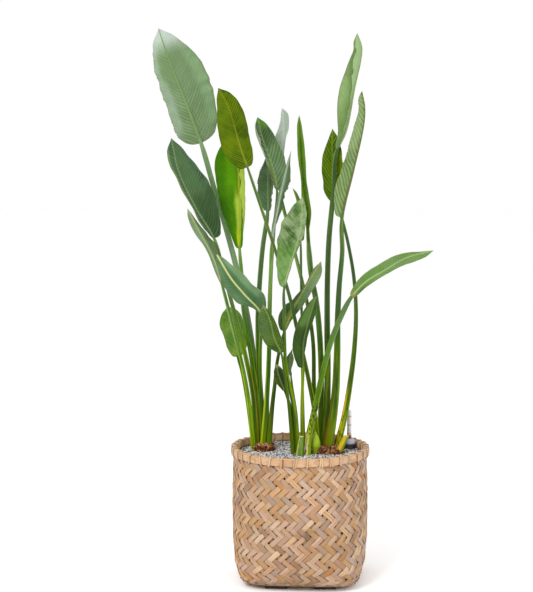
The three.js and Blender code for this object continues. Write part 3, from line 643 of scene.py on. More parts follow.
LOOKS = {
    "leaf_left_top": dict(
        deep="5c7c46", light="8aa674", rib="7f9c5c", rows=140, full=(0.3, 0.06), lobe=(0.004, 0.0),
        torn=(0.05, 0.0), wave=0.003, rib_sunk=-0.2, pitch=0.0125, veins=0.9, bloom=0.05,
        # The whitish fade at the top (cddcd2) is a painted highlight, and so are the whitish patches on the
        # left (b0c6ae, bccec0).
        fades=[("cddcd2", 0.74, 0.94, 0.75)],
        patches=[("b0c6ae", (0.1, 0.95), (-1.2, -0.7), 0.4), ("6a8a58", (0.45, 0.82), (-0.5, 0.6), 0.45),
                 ("8cb680", (0.15, 0.75), (0.6, 1.0), 0.4),
                 ("bccec0", (0.15, 0.55), (-0.72, -0.52), 0.35)],
        saturation=0.95, rim="7f8a55", stalk="7a9a60", stalk_deep="5c7c3c", stalk_shade="46661e",
        stalk_pale="a0b888", haze=0.7, haze_colour="7c9c74", stalk_value=1.2),
    "leaf_left_upright": dict(
        deep="2c4a00", light="86a404", rib="868c14", full=(0.0, 0.15), pitch=0.0085, veins=0.9,
        blotch=20.0, patchy=0.25, patch="a2b01c", bloom=0.0,
        # The lighter patch on the left half and the darker one on the right are painted light and painted
        # shade, from how light falls on the two sides of the fold.
        patches=[("7c9c10", (0.1, 1.0), (-1.2, -0.1), 0.3), ("3a6004", (0.1, 1.0), (0.1, 1.2), 0.2)],
        value=0.68, saturation=1.25, gloss=0.05, rib_glow=0.4, rim="6c7a20", stalk="56701e",
        stalk_deep="3a4b0b", stalk_pale="7c9240", stalk_value=1.1),
    "leaf_left_wide": dict(
        deep="28461e", light="628460", rib="8a9c60", wave=0.003, pitch=0.0115, veins=0.9, bloom=0.03,
        patches=[("2c4c14", (0.05, 0.45), (0.1, 1.0), 0.6), ("5e8048", (0.4, 0.95), (0.05, 0.7), 0.35),
                 ("8ea266", (0.1, 0.9), (-1.2, -0.7), 0.6)],
        value=0.84, saturation=1.08, rim="7d8a48", stalk="5a7c1a", stalk_deep="3c5c12",
        stalk_pale="8b994c", stalk_value=1.5,
        stalk_patches=[("a86a48", (-0.1, 0.3), (0.75, 1.0), 0.7)]),
    "leaf_left_low": dict(
        deep="5a7844", light="8ea67c", rib="b4bf8a", veins=0.4,
        patches=[("c98a3a", (-0.1, 0.05), (-1.2, 1.2), 0.7), ("4c6a30", (0.1, 1.0), (0.3, 1.2), 0.5)],
        rim="a88a4a", stalk="6a8244", stalk_deep="43601f", stalk_pale="8ea260", stalk_value=1.5),
    "leaf_left_bright": dict(
        deep="3a6c00", light="5f9a0c", rib="b4c030", bloom=0.0, under="b4cc4e",
        patches=[("2c6a00", (0.0, 1.0), (-1.2, -0.6), 0.45), ("74aa40", (0.55, 1.0), (-0.5, 0.0), 0.3),
                 ("b4cc62", (-0.1, 0.5), (-0.2, 0.2), 0.9), ("c4d62c", (-0.1, 0.14), (-0.34, 0.2), 0.8)],
        value=1.08, saturation=1.1, gloss=0.06, rib_glow=0.9, stalk="4c7806", stalk_deep="2f5600",
        stalk_pale="7ca016", stalk_value=1.5,
        stalk_patches=[("a86a40", (-0.1, 0.3), (-1.05, -0.8), 0.7)]),
    "leaf_left_small": dict(
        deep="3f6a1c", light="7ca052", rib="8fa354", veins=0.8, blotch=22.0, patchy=0.5, patch="9cb038",
        bloom=0.0, value=1.2, saturation=1.05, gloss=0.12, freckles=0.8, rim="a07a36", rim_share=0.6,
        stalk="4f7414", stalk_value=1.5,
        stalk_patches=[("c9cf3c", (-0.1, 0.1), (-1.0, 1.0), 0.5)]),
    "leaf_centre_folded": dict(
        deep="34561e", light="7a9a68", rib="8ca06c", slant=1.2, pitch=0.015, veins=1.0, bloom=0.05,
        under="c4d2b4",
        # The pale patch over the outer left (9cb48c) is painted sheen.
        patches=[("2f4a18", (0.6, 0.86), (0.0, 1.2), 0.6), ("4c8410", (0.88, 1.2), (-0.1, 1.2), 0.95),
                 ("9cb48c", (0.3, 1.0), (-1.3, -0.45), 0.85), ("6f8c1c", (0.0, 0.4), (-0.6, -0.15), 0.6)],
        stalk="4c6a30", stalk_deep="33521a", stalk_pale="7a9460", stalk_value=1.3),
    "leaf_centre_pale": dict(
        deep="9aad96", light="c3cfc4", rib="c9d2c2", blunt=0.7, veins=0.3, bloom=0.3,
        patches=[("7f977c", (0.0, 0.3), (-1.2, 1.2), 0.5)],
        value=0.91, saturation=1.15, rough=0.55, stalk="425d18", stalk_deep="2f4306", stalk_value=1.5),
    "leaf_centre_torn": dict(
        deep="3c6030", light="78986a", rib="7c9860", rows=150, torn=(0.1, 0.28), veins=0.4, bloom=0.05,
        patches=[("5a3c20", (0.1, 0.75), (0.35, 0.5), 0.7)],
        rim="6a4a2a", rim_from=(0.95, 1.0), rim_share=0.8, stalk="556f38", stalk_deep="3b5908",
        stalk_pale="7f9660", stalk_value=1.3),
    "leaf_centre_striped": dict(
        deep="4a683a", light="8aa888", rib="b4beaa", rows=150, torn=(0.04, 0.3), slant=1.6, veins=0.6,
        bloom=0.12,
        patches=[("3a5420", (-0.1, 1.1), (0.25, 1.2), 0.75)],
        rim="a0662c", rim_share=0.6, stalk="527416", stalk_deep="294a00", stalk_pale="84a43c",
        stalk_value=1.5,
        stalk_patches=[("a4b42c", (-0.1, 0.2), (-1.2, -0.3), 0.6),
                       ("9a5a38", (-0.1, 0.25), (-1.35, -1.15), 0.7)]),
    "leaf_centre_front": dict(
        deep="2f5812", light="8cae68", rib="a0b478", wave=0.006, rumple=0.006, veins=0.8, blotch=26.0,
        patchy=0.75, patch="bccfa0", bloom=0.05,
        patches=[("5c9a24", (0.0, 0.45), (-1.0, 1.0), 0.45)],
        value=0.84, saturation=1.08, stalk="78993a", stalk_deep="4f6e16", stalk_pale="a3bf58"),
    "leaf_centre_rolled": dict(
        deep="4f7a14", light="7c9c38", rib="8aa248", full=(-0.5, -0.5), slim=0.2, lobe=(0.0, 0.0),
        wave=0.0006, veins=0.2, bloom=0.0,
        patches=[("3c6610", (0.0, 1.0), (-0.3, 0.3), 0.5)],
        gloss=0.1, stalk="4c6c0e", stalk_deep="2f4a02", stalk_value=1.5),
    "leaf_centre_slim": dict(
        deep="3f600f", light="62803c", rib="7c9448", bloom=0.02, stalk="58742f", stalk_deep="3a5610",
        stalk_value=1.3),
    "leaf_front_slanted": dict(
        deep="3c6426", light="7a9e58", rib="b4b84a", wave=0.004,
        patches=[("2c4416", (0.0, 0.9), (-1.2, -0.35), 0.6), ("b4b43c", (0.1, 0.4), (-0.3, 0.05), 0.4),
                 ("94ab7c", (0.6, 1.1), (-1.0, 1.0), 0.4)],
        rib_glow=0.7, rim="a8742c", rim_share=0.7, stalk="667436", stalk_deep="3e4b0f"),
    "leaf_front_cupped": dict(
        deep="223c0c", light="4f6e30", rib="7c9048", bloom=0.0,
        patches=[("7c9860", (0.55, 1.0), (-0.8, 0.0), 0.4), ("16280a", (0.1, 0.6), (-0.3, 0.3), 0.5)],
        value=0.98, saturation=1.22, gloss=0.2, stalk="748930", stalk_deep="546f1a", stalk_pale="a3b454"),
    "leaf_front_low": dict(
        deep="22420a", light="789a50", rib="8ca25c", veins=1.0, blotch=30.0, patchy=0.4, patch="8ca04c",
        bloom=0.02,
        fades=[("a9b684", 0.85, 1.0, 0.6)],
        patches=[("7c9a6a", (0.3, 0.9), (-0.9, -0.2), 0.45)],
        value=0.6, saturation=1.25, stalk="5a7433", stalk_deep="395114"),
    "leaf_front_shortest": dict(
        deep="33501a", light="6c8a48", rib="8ea27c", slant=1.5, veins=0.6, bloom=0.04,
        patches=[("26420e", (0.0, 0.6), (-1.2, -0.3), 0.5), ("86a45c", (0.3, 1.0), (0.2, 1.0), 0.35)],
        stalk="8aa040", stalk_deep="5f7c22"),
    "leaf_left_front": dict(
        deep="40643a", light="77986c", rib="d0d48c", wave=0.006, veins=0.4, bloom=0.06,
        patches=[("3a6238", (0.1, 0.8), (-0.5, 0.4), 0.35), ("8fae84", (0.2, 0.9), (0.5, 1.2), 0.5)],
        value=0.9, saturation=1.14, rib_glow=0.95, stalk="304e04", stalk_deep="213f00",
        stalk_pale="6a8a30", stalk_value=1.5),
    "leaf_front_young": dict(
        deep="22380a", light="5a7a3c", rib="8a9850", veins=0.8, bloom=0.0,
        fades=[("b4b98a", 0.8, 1.0, 0.8)],
        patches=[("141f08", (0.2, 0.85), (-0.1, 0.6), 0.7)],
        value=0.8, saturation=1.35, rim="a0662c", rim_from=(0.9, 0.99), rim_share=0.8, stalk="5f722a",
        stalk_deep="42560f"),
    "leaf_right_top": dict(
        deep="5c7e34", light="8fae6c", rib="a9bc7c", rows=150, full=(-0.15, -0.3), blunt=0.7,
        torn=(0.0, 0.16), slant=1.4, veins=0.35, bloom=0.06, under="9cba80",
        fades=[("a9bf8e", 0.85, 1.0, 0.4)],
        value=1.2, rim="6a5024", rim_from=(0.95, 0.99), rim_share=0.9, stalk="4c6c14", stalk_deep="364a03",
        stalk_pale="84a03c"),
    "leaf_right_tall": dict(
        deep="4a6424", light="a4b88c", rib="72703a", rows=130, blunt=1.1, torn=(0.06, 0.0), rib_sunk=0.0,
        slant=1.5, pitch=0.019, veins=1.0, bloom=0.05,
        patches=[("a3b48c", (0.5, 1.0), (-1.0, -0.3), 0.4)],
        value=0.96, saturation=1.24, rib_glow=0.6, stalk="4f7010", stalk_deep="365602",
        stalk_pale="84a02c", specks=0.8,
        stalk_patches=[("8a7a3c", (-0.1, 0.12), (-2.2, -0.2), 0.6),
                       ("8a9c34", (-0.1, 0.12), (-0.2, 0.7), 0.4),
                       ("7a4a24", (0.0, 0.22), (-1.0, -0.75), 0.7)]),
    "leaf_right_green": dict(
        deep="2a5000", light="8cb02c", rib="8ca030", slant=1.6, pitch=0.017, veins=0.9, bloom=0.0,
        patches=[("96a848", (0.1, 0.7), (0.4, 1.0), 0.4)],
        value=0.8, saturation=1.2, gloss=0.1, rim="a89a44", stalk="5c7c14", stalk_deep="3a5a02",
        specks=0.6, spots=0.7,
        stalk_patches=[("e6d06c", (-0.1, 0.22), (-2.6, -0.4), 0.9),
                       ("b4c02c", (-0.1, 0.12), (-0.3, 0.5), 0.6),
                       ("2a180a", (0.04, 0.07), (-1.7, -0.5), 0.9),
                       ("8a5a28", (0.0, 0.24), (-0.4, -0.25), 0.7)]),
    "leaf_right_arching": dict(
        deep="54802a", light="8aac64", rib="b4c48a", lobe=(0.004, 0.004), veins=0.6, bloom=0.06,
        patches=[("b99a3c", (-0.1, 0.04), (-1.2, 1.2), 0.7), ("3f5e14", (0.0, 0.2), (0.5, 1.2), 0.6)],
        value=0.9, saturation=1.05, stalk="5c7c38", stalk_deep="405e1e", stalk_pale="86a24c",
        pale_share=0.2, foot="b8cc4c", foot_share=0.6, haze=0.8, specks=0.9, spots=0.9,
        stalk_patches=[("ecead0", (-0.1, 0.1), (-2.2, 0.1), 0.7),
                       ("a9c424", (0.06, 0.14), (-1.9, 0.0), 0.5), ("a0bc9c", (0.1, 0.6), (0.9, 2.4), 0.5),
                       ("9a5a48", (-0.05, 0.09), (-0.9, -0.5), 0.6),
                       ("7a4a3c", (-0.05, 0.06), (-1.7, -1.4), 0.5)]),
}
for number, (leaf, look) in enumerate(LOOKS.items()):
    leaf_piece(leaf, PLAIN | look, 11 + number)


# ---------------------------------------------------------------- basket

AXIS = box_middle("rim_outer_hoop")[:2]
RIM_LOW, RIM_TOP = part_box("rim_outer_hoop")[0].z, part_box("rim_outer_hoop")[1].z
WALL_LOW, WALL_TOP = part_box("basket")[0].z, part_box("basket")[1].z
OUTLINE_HEIGHTS = np.array([0.010, 0.020, 0.036, 0.070, 0.140, 0.230, 0.330, 0.404, 0.426])
OUTLINE_HALVES = np.array([0.146, 0.174, 0.193, 0.208, 0.216, 0.218, 0.217, 0.2138, 0.2138])
ROUND_FROM = 0.385  # height from which the wall is a circle
BASE_TURN = math.radians(-4)
BASE_SHIFT = 0.006
BASE_WIDE = 0.2  # how much wider the base is than it is deep, as a share
BASE_WIDE_REACH = 0.011  # height over which most of that is gone
STRIPS = 51  # strips in each of the two families
STRIP_ROWS = 136
STRIP_WIDTH = 0.0166
STRIP_THICKNESS = 0.0013
STRIP_DEPTH = 0.0022  # of the weave's middle inside the wall
SWING, SWING_SHARP = 0.00105, 1.9  # how far a strip goes out and in from there, and how abruptly
LEAN = math.radians(43.5)  # of the strips from level
FLOOR_LIFT = 0.0025  # of the floor's middle above the wall's foot
FLOOR_HALF, FLOOR_RELIEF = 0.0012, 0.0007  # half its thickness, and how much its weave adds or takes
FLOOR_WAVE = TAU / 0.036  # radians of its weave per metre, where a wave is two strips of 18 mm


def outline(height):
    return np.interp(height, OUTLINE_HEIGHTS, OUTLINE_HALVES)


def wall(turn, height, inset=0.0):
    """Point of the basket's outer wall: a circle at the rim that turns into a rounded square at the base. Its
    radius is the outline's half width times (|cos|^p + |sin|^p)^(-1/p), where p goes from 2 to 5. The lowest
    centimetres are stretched in X by 1 + share * e^(-height / reach)."""
    base = (1 - np.clip((height - WALL_LOW) / (ROUND_FROM - WALL_LOW), 0, 1)) ** 5
    power = 2 + 3 * base
    c, s = np.abs(np.cos(turn - BASE_TURN)), np.abs(np.sin(turn - BASE_TURN))
    radius = (outline(height) - inset) * (c ** power + s ** power) ** (-1 / power)
    wide = 1 + BASE_WIDE * np.exp((WALL_LOW - height) / BASE_WIDE_REACH)
    x = AXIS[0] + radius * np.cos(turn) * wide + BASE_SHIFT * base
    return np.stack([x, AXIS[1] + radius * np.sin(turn), height], -1)


def wall_out(turn, height):
    """Way out of the wall at a point, square to its level line and to its outline."""
    step = 1e-3
    level = wall(turn + step, height) - wall(turn - step, height)
    up = wall(turn, height + step) - wall(turn, height - step)
    return unit(np.cross(level, up))


def woven_family(name, side, shift, finish, seed):
    """Strips of one family of the twill, climbing to one side round the wall. Turn goes up a strip as the
    length times cot(lean) over the radius, and both are read at heights spaced evenly along the outline.
    Counted in crossings, each strip is out over two and then in under two."""
    rng = np.random.default_rng(seed)
    fine = np.linspace(WALL_LOW + 0.0005, WALL_TOP, 4000)
    run = np.concatenate([[0], np.cumsum(np.hypot(np.diff(fine), np.diff(outline(fine))))])
    length = np.linspace(0, run[-1], STRIP_ROWS)
    height, radius = np.interp(length, run, fine), np.interp(length, run, outline(fine))
    climb = np.concatenate([[0], np.cumsum(np.diff(length) / (radius[1:] * math.tan(LEAN)))])
    crossing = STRIPS * climb / math.pi
    swing = np.tanh(SWING_SHARP * np.cos(TAU * (crossing + shift) / 4)) / np.tanh(SWING_SHARP)
    section = np.array([(-1, -0.1), (-0.86, -0.5), (0.86, -0.5), (1, -0.1), (0.8, 0.5), (-0.8, 0.5)])
    surface = Surface()
    for strip in range(STRIPS):
        start = TAU * strip / STRIPS + rng.normal(0, 0.009)
        turn = start + side * climb + 0.007 * waves(rng, length, 0.2)
        width = STRIP_WIDTH / 2 * (rng.uniform(0.84, 1.08) + 0.05 * waves(rng, length, 0.12))
        lift = SWING * swing + rng.normal(0, 0.0001) + 0.00022 * waves(rng, length, 0.07)
        out = wall_out(turn, height)
        middle = wall(turn, height) + out * (lift - STRIP_DEPTH)[:, None]
        along = unit(np.gradient(middle, axis=0))
        across = unit(np.cross(out, along))
        face = unit(out + across * 0.05 * waves(rng, length, 0.09)[:, None])
        across = unit(np.cross(face, along))
        surface.skin(carried(section, middle, across, face, width, STRIP_THICKNESS),
                     strip=rng.uniform(0, 1), shade=rng.uniform(0, 1), across=section[:, 0],
                     along=length[:, None] + rng.uniform(0, 9), swing=swing[:, None])
    surface.piece(name, [finish], "basket")


def bamboo_strip():
    """Split bamboo: a tone for each strip, fine grain along it, stains, darker edges and nodes, and painted
    shade where a strip dips in under its crossing strips.
    """
    f = Finish("bamboo_strip")
    strip, shade, along, across, swing = f.values("strip", "shade", "along", "across", "swing")
    tone = f.tones(strip, [(0.0, "d4aa84"), (0.2, "ccab94"), (0.38, "e2c2a0"), (0.54, "cc9a6c"),
                           (0.68, "c0a898"), (0.84, "ac866a"), (1.0, "d8b48a")])
    grain = f.noise(f.vector(along * 6.0, across * 1.5 + strip * 40.0, shade * 40.0), 5.0, 4.0, 0.65)
    fibre = f.noise(f.vector(along * 14.0, across * 9.0, strip * 60.0), 3.0, 3.0, 0.6)
    stain = f.noise(f.place(), 16.0, 4.0, 0.6).step(0.5, 0.72)
    blush = f.noise(f.vector(along * 1.0, strip * 50.0, shade * 9.0), 12.0, 3.0, 0.6)
    split = (across - (strip - 0.5) * 1.1).size().step(0.12, 0.04) * shade.step(0.86, 0.88)
    node = f.noise(f.vector(along * 1.0, strip * 30.0, 0.0), 7.0, 1.0).step(0.70, 0.73)
    tone = f.over(tone,
                  (grain.step(0.42, 0.75) * 0.55, "8a6844"),
                  (fibre.step(0.5, 0.72) * 0.35, "e6cfae"),
                  (fibre.step(0.42, 0.28) * 0.5, "6e4f30"),
                  (stain * 0.45, "8a6850"),
                  (blush.step(0.52, 0.68) * 0.45, "cb8c58"),
                  (blush.step(0.46, 0.32) * 0.45, "cdb8ac"),
                  (split * 0.5, "5a4028"),
                  (node * 0.5, "6b4a2c"),
                  (across.size().step(0.86, 1.0) * 0.4, "6b4a2e"),
                  # Painted shade where the strip dips in under the strips that cross it.
                  (swing.step(-0.2, -1.0) * 0.3, "5a4028"))
    tone = f.tinted(tone, 0.85 + shade * 0.34, 1.03 + strip * 0.14)
    return f.done(tone, 0.52 + grain * 0.25, grain * 0.4 + fibre * 0.5 - split * 1.2, 0.0009, gloss=0.35)


def bamboo_floor():
    """Two layers of grain, one along X and one along Y, each where its strips are on top."""
    f = Finish("bamboo_floor")
    over = ((f.split("X") * FLOOR_WAVE).sine() * (f.split("Y") * FLOOR_WAVE).sine()).step(-0.15, 0.15)
    grain = f.noise(f.stretched(f.place(), (12.0, 90.0, 1.0)), 4.0, 4.0, 0.6) * over
    grain = grain + f.noise(f.stretched(f.place(), (90.0, 12.0, 1.0)), 4.0, 4.0, 0.6) * (1 - over)
    return f.done(f.mix(grain.step(0.3, 0.7), "94704a", "c8a67c"), 0.7, grain + over, 0.0012)


def basket_underside():
    """Woven floor under the basket: a thin slab whose outline is the wall's lowest ring. The height of its
    two faces goes up and down with the twill of strips laid along X and along Y."""
    turn = once_round(120)
    rim = wall(turn, np.full_like(turn, WALL_LOW + FLOOR_LIFT), 0.001)
    share = np.sqrt(np.linspace(0, 1, 46))[1:, None, None]
    centre = np.array([AXIS[0] + BASE_SHIFT, AXIS[1], WALL_LOW + FLOOR_LIFT])
    flat = centre + (rim - centre)[None] * share
    weave = np.sin(flat[..., 0] * FLOOR_WAVE) * np.sin(flat[..., 1] * FLOOR_WAVE)
    low, high = flat.copy(), flat.copy()
    low[..., 2] -= FLOOR_HALF - FLOOR_RELIEF * weave
    high[..., 2] += FLOOR_HALF + FLOOR_RELIEF * weave
    surface = Surface()
    surface.skin(np.concatenate([low, high[::-1]]))
    surface.piece("basket_woven_floor", [bamboo_floor()], "basket")


strip_finish = bamboo_strip()
woven_family("basket_rising_strips", 1, -0.5, strip_finish, 201)
woven_family("basket_falling_strips", -1, 1.5, strip_finish, 202)
basket_underside()


# ---------------------------------------------------------------- rim

HOOP_HEIGHT = RIM_TOP - RIM_LOW
HOOP_THICKNESS = 0.0055
HOOP_ROWS = 420
HOOP_NODE = 0.0035  # half length of a swelling at a node of the bamboo
INNER_HOOP_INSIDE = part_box("rim_inner_hoop")[1].x - AXIS[0] - HOOP_THICKNESS
HOOP_EDGE = 0.0022  # of a hoop's half height that it lacks where a tie pinches it
TIES = 36
DOUBLED = 0.35  # share of the ties that have a second turn
BESIDE = 0.024  # angle from a tie's first turn to its second
SCARF = 0.16  # angle over which the hoop's two ends overlap
SCARF_END = 0.12  # share of the hoop's thickness left at the ends
CANE_THICKNESS = 0.0017
STRAND_WIDE, STRAND_DEEP = 0.0026, 0.0013  # half sizes of the strands along the top
STRAND_APART = 0.0042


def hoop_band(name, node, joint, seed, finish):
    """Flat bamboo hoop: a rounded band carried once round and a little further, its two ends thinned so that
    they lie over each other. It is thicker at its nodes, its edges waver, and each tie pinches it."""
    rng = np.random.default_rng(seed)
    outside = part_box(node)[1].x - AXIS[0]
    turn = np.linspace(joint, joint + TAU + SCARF, HOOP_ROWS)
    between = np.abs(np.cos(turn * TIES / 2)) ** 0.5
    panel = rng.uniform(0, 1, 2 * TIES)[np.floor(turn * TIES / TAU + 0.5).astype(int) % TIES]
    share = np.linspace(0, 1, HOOP_ROWS)
    part = SCARF / (TAU + SCARF)
    first, last = ramp(share, 0, part), ramp(1 - share, 0, part)
    thick = HOOP_THICKNESS * (SCARF_END + (1 - SCARF_END) * np.minimum(first, last))
    middle = outside - 0.0003 - (HOOP_THICKNESS - thick) * (1 - first) - thick / 2
    nodes = joint + 0.6 + np.arange(5) * 1.3 + rng.normal(0, 0.12, 5)
    knot = hump(turn[:, None], nodes, HOOP_NODE / outside).sum(1)
    half_height = HOOP_HEIGHT / 2 - HOOP_EDGE + 0.0016 * between + 0.0004 * waves(rng, turn, 0.5)
    section = once_round(20)
    flat_c, flat_s = squared(np.cos(section), 0.6), squared(np.sin(section), 0.45)
    swell = 1 + 0.1 * knot
    radius = middle[:, None] + (thick / 2 * swell)[:, None] * flat_c + 0.0003 * waves(rng, turn, 0.3)[:, None]
    radius = np.minimum(radius + 0.0018 * (between - 0.8)[:, None], outside + 0.0008)
    height = (RIM_LOW + RIM_TOP) / 2 + half_height[:, None] * flat_s + 0.0006 * waves(rng, turn, 0.9)[:, None]
    surface = Surface()
    surface.skin(round_axis(AXIS, radius, turn[:, None], height)[:, ::-1], along=(turn * outside)[:, None],
                 across=flat_s[::-1] * 0.9, panel=panel[:, None], knot=knot[:, None])
    surface.piece(name, [finish], node)


def hoop_bamboo(name, value):
    """Planed bamboo of the hoops: long fine grain, darker nodes, a little wear, and painted shade along the
    band's upper and lower edges.
    """
    f = Finish(name)
    along, across, panel, knot = f.values("along", "across", "panel", "knot")
    grain = f.noise(f.vector(along * 3.0, across * 4.0, 0.0), 7.0, 4.0, 0.65)
    long_ = f.noise(f.vector(along * 1.2, across * 0.6, 4.0), 14.0, 3.0)
    smudge = f.noise(f.place(), 42.0, 4.0, 0.65).step(0.5, 0.66)
    scuff = f.noise(f.place(), 70.0, 4.0, 0.7).step(0.6, 0.72)
    tone = f.over(f.mix(grain.step(0.3, 0.7), "cc9c70", "ecc8a0"),
                  (long_.step(0.45, 0.66) * 0.6, "c78f60"),
                  (panel.step(0.7, 0.85) * 0.45, "ccae98"),
                  (panel.step(0.3, 0.15) * 0.45, "b9804f"),
                  (smudge * 0.45, "8a6448"),
                  (knot.step(0.15, 0.8) * 0.6, "7d5a34"),
                  # Painted shade along the band's upper and lower edges.
                  (across.size().step(0.7, 0.95) * 0.35, "8a6642"),
                  (scuff * 0.4, "e2cba6"))
    return f.done(f.tinted(tone, value, 0.98), 0.5, grain + scuff * 0.5, 0.0008, gloss=0.3)


def split_cane():
    """Split cane: glossy rind with fine lengthwise lines."""
    f = Finish("split_cane")
    along, across, strip = f.values("along", "across", "strip")
    line = f.noise(f.vector(along * 8.0, across * 5.0, strip * 30.0), 5.0, 3.0, 0.6)
    tone = f.tinted(f.mix(line.step(0.3, 0.72), "cc9c6c", "ecc89e"), 0.92 + strip * 0.3)
    tone = f.over(tone, (across.size().step(0.7, 0.97) * 0.65, "6c4c2e"))
    return f.done(tone, 0.42, line, 0.0005)


def rim_lashing():
    """Cane that ties the hoops. Each tie is a flat band carried round a rounded rectangle that holds both
    hoops, standing a little askew, and some have a second turn beside the first. Four strands run along the
    top between the ties, and swing from side to side from tie to tie."""
    rng = np.random.default_rng(303)
    low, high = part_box("rim_lashing")
    outside = high.x - AXIS[0]
    inside = INNER_HOOP_INSIDE - 0.0016
    middle_r, half_r = (outside + inside) / 2, (outside - inside) / 2 - 0.0002
    middle_z, half_z = (low.z + high.z) / 2, (high.z - low.z) / 2 - 0.0002
    surface = Surface()
    section = np.array([(-1, -0.3), (0, -0.5), (1, -0.3), (0.9, 0.3), (0, 0.5), (-0.9, 0.3)])
    u = once_round(40)
    for tie in range(TIES):
        for turn_beside in range(2 if rng.uniform() < DOUBLED else 1):
            at = (tie + 0.5) / TIES * TAU + rng.normal(0, 0.014) + turn_beside * BESIDE
            bulge = rng.uniform(0.0, 0.0009)
            radius = middle_r + (half_r - 0.0003 + bulge) * squared(np.cos(u), 0.3)
            radius = np.minimum(radius, outside - 0.0001)
            height = middle_z + (half_z - 0.0003) * squared(np.sin(u), 0.35)
            turn = at + rng.normal(0, 0.016) * np.sin(u) + 0.004 * np.sin(2 * u)
            middle = round_axis(AXIS, radius, turn, height)
            along = unit(np.roll(middle, -1, 0) - np.roll(middle, 1, 0))
            face = middle - round_axis(AXIS, middle_r, turn, middle_z)
            face = unit(face - along * np.sum(face * along, axis=1, keepdims=True))
            across = unit(np.cross(face, along))
            width = rng.uniform(0.0022, 0.0034)
            surface.skin(carried(section, middle, across, face, width, CANE_THICKNESS), ring=True,
                         along=(u * 0.03)[:, None], strip=rng.uniform(0, 1), across=section[:, 0])
    u, turn = once_round(504), once_round(8)
    for strand in range(4):
        swing = np.sin(u * TIES / 2 + strand * math.pi / 2)
        radius = middle_r + (strand - 1.5) * STRAND_APART + 0.0012 * swing + 0.0003 * waves(rng, u, 0.4)
        height = RIM_TOP - 0.0007 - 0.0011 * (strand % 3 == 0) + 0.0006 * np.cos(u * TIES + strand)
        grid = round_axis(AXIS, radius[:, None] + STRAND_WIDE * np.cos(turn), u[:, None],
                          height[:, None] + STRAND_DEEP * np.sin(turn))
        surface.skin(grid[:, ::-1], ring=True, along=(u * 0.2)[:, None], strip=0.25 + 0.2 * strand,
                     across=np.cos(turn))
    surface.piece("rim_cane_lashing", [split_cane()], "rim_lashing")


hoop_band("rim_outer_band", "rim_outer_hoop", math.radians(-76), 301, hoop_bamboo("hoop_bamboo", 1.12))
# The inner band's finish is the same bamboo brightened 1.7 times, against 1.12 for the outer band: painted
# light on the rim's inside, where stalks and leaves shade it.
hoop_band("rim_inner_band", "rim_inner_hoop", math.radians(100), 302, hoop_bamboo("inner_hoop_bamboo_brightened", 1.7))
rim_lashing()


# ---------------------------------------------------------------- gravel and coir

GRAVEL_PITCH = 0.0050
GRAIN_HALF = (0.0021, 0.0034)  # least and most
DENT = 0.12  # of a grain's or chip's corners, as a share
PLUG_CLEAR = 0.44  # how far from a coir plug's middle gravel starts, as a share of its width and depth
BED_DROP = 0.0035  # of the bed under the grains
MOUND = 0.86  # share of a coir plug's height up to its mound's top
CHIPS = 620  # chips of fibre on each plug
LOOSE_FIBRES = 60
FIBRE_RADIUS = 0.00028


def icosahedron():
    """Twelve corners (0, +-1, +-golden ratio) and their turns, with the twenty faces outwards."""
    g = (1 + math.sqrt(5)) / 2
    points = np.array([(-1, g, 0), (1, g, 0), (-1, -g, 0), (1, -g, 0), (0, -1, g), (0, 1, g), (0, -1, -g),
                       (0, 1, -g), (g, 0, -1), (g, 0, 1), (-g, 0, -1), (-g, 0, 1)]) / math.hypot(1, g)
    faces = np.array([(0, 11, 5), (0, 5, 1), (0, 1, 7), (0, 7, 10), (0, 10, 11), (1, 5, 9), (5, 11, 4),
                      (11, 10, 2), (10, 7, 6), (7, 1, 8), (3, 9, 4), (3, 4, 2), (3, 2, 6), (3, 6, 8),
                      (3, 8, 9), (4, 9, 5), (2, 4, 11), (6, 2, 10), (8, 6, 7), (9, 8, 1)])
    return points, faces


def sliver():
    """A flat chip with six sides, long in X."""
    j = np.arange(6)
    beside, turn = (j + 1) % 6, j * TAU / 6
    ring = np.stack([np.cos(turn), np.sin(turn) * 0.8, np.zeros(6)], -1)
    top = np.stack([j, beside, np.full(6, 6)], -1)
    base = np.stack([beside, j, np.full(6, 7)], -1)
    return np.concatenate([ring, [(0.1, 0, 1), (-0.1, 0, -1)]]), np.concatenate([top, base])


def random_turns(rng, count):
    """Rotation matrices of random unit quaternions."""
    w, x, y, z = unit(rng.normal(size=(count, 4))).T
    rows = [[1 - 2 * (y * y + z * z), 2 * (x * y - z * w), 2 * (x * z + y * w)],
            [2 * (x * y + z * w), 1 - 2 * (x * x + z * z), 2 * (y * z - x * w)],
            [2 * (x * z - y * w), 2 * (y * z + x * w), 1 - 2 * (x * x + y * y)]]
    return np.moveaxis(np.array(rows), -1, 0)


def scattered(surface, rng, places, sizes, shape, tone):
    """Adds one copy of a shape of points and faces per place, scaled, dented at random and turned."""
    points, faces = shape
    count = len(places)
    bodies = points[None] * sizes[:, None, :] * (1 + DENT * rng.normal(size=(count, len(points), 1)))
    turned = np.einsum("nij,npj->npi", random_turns(rng, count), bodies) + places[:, None]
    index = faces[None] + (np.arange(count) * len(points))[:, None, None]
    surface.add(turned.reshape(-1, 3), [index.reshape(-1, 3)], tone=np.repeat(tone, len(points)))


def crushed_stone():
    """Crushed stone: each grain white, grey, blue-grey or fawn, speckled, over a shaded bed."""
    f = Finish("crushed_stone")
    shade = f.tones(*f.values("tone"), [
        (0.0, "ffffff"), (0.28, "ece8e6"), (0.4, "b4ccd6"), (0.5, "f6f2ee"), (0.62, "90807c"),
        (0.72, "503c3e"), (0.84, "342628"), (0.92, "c4b8ac"), (1.0, "ffffff")])
    speck = f.noise(f.place(), 900.0, 3.0, 0.7)
    return f.done(f.over(shade, (speck.step(0.56, 0.7) * 0.5, "5b5f66")), 0.62, speck, 0.0004)


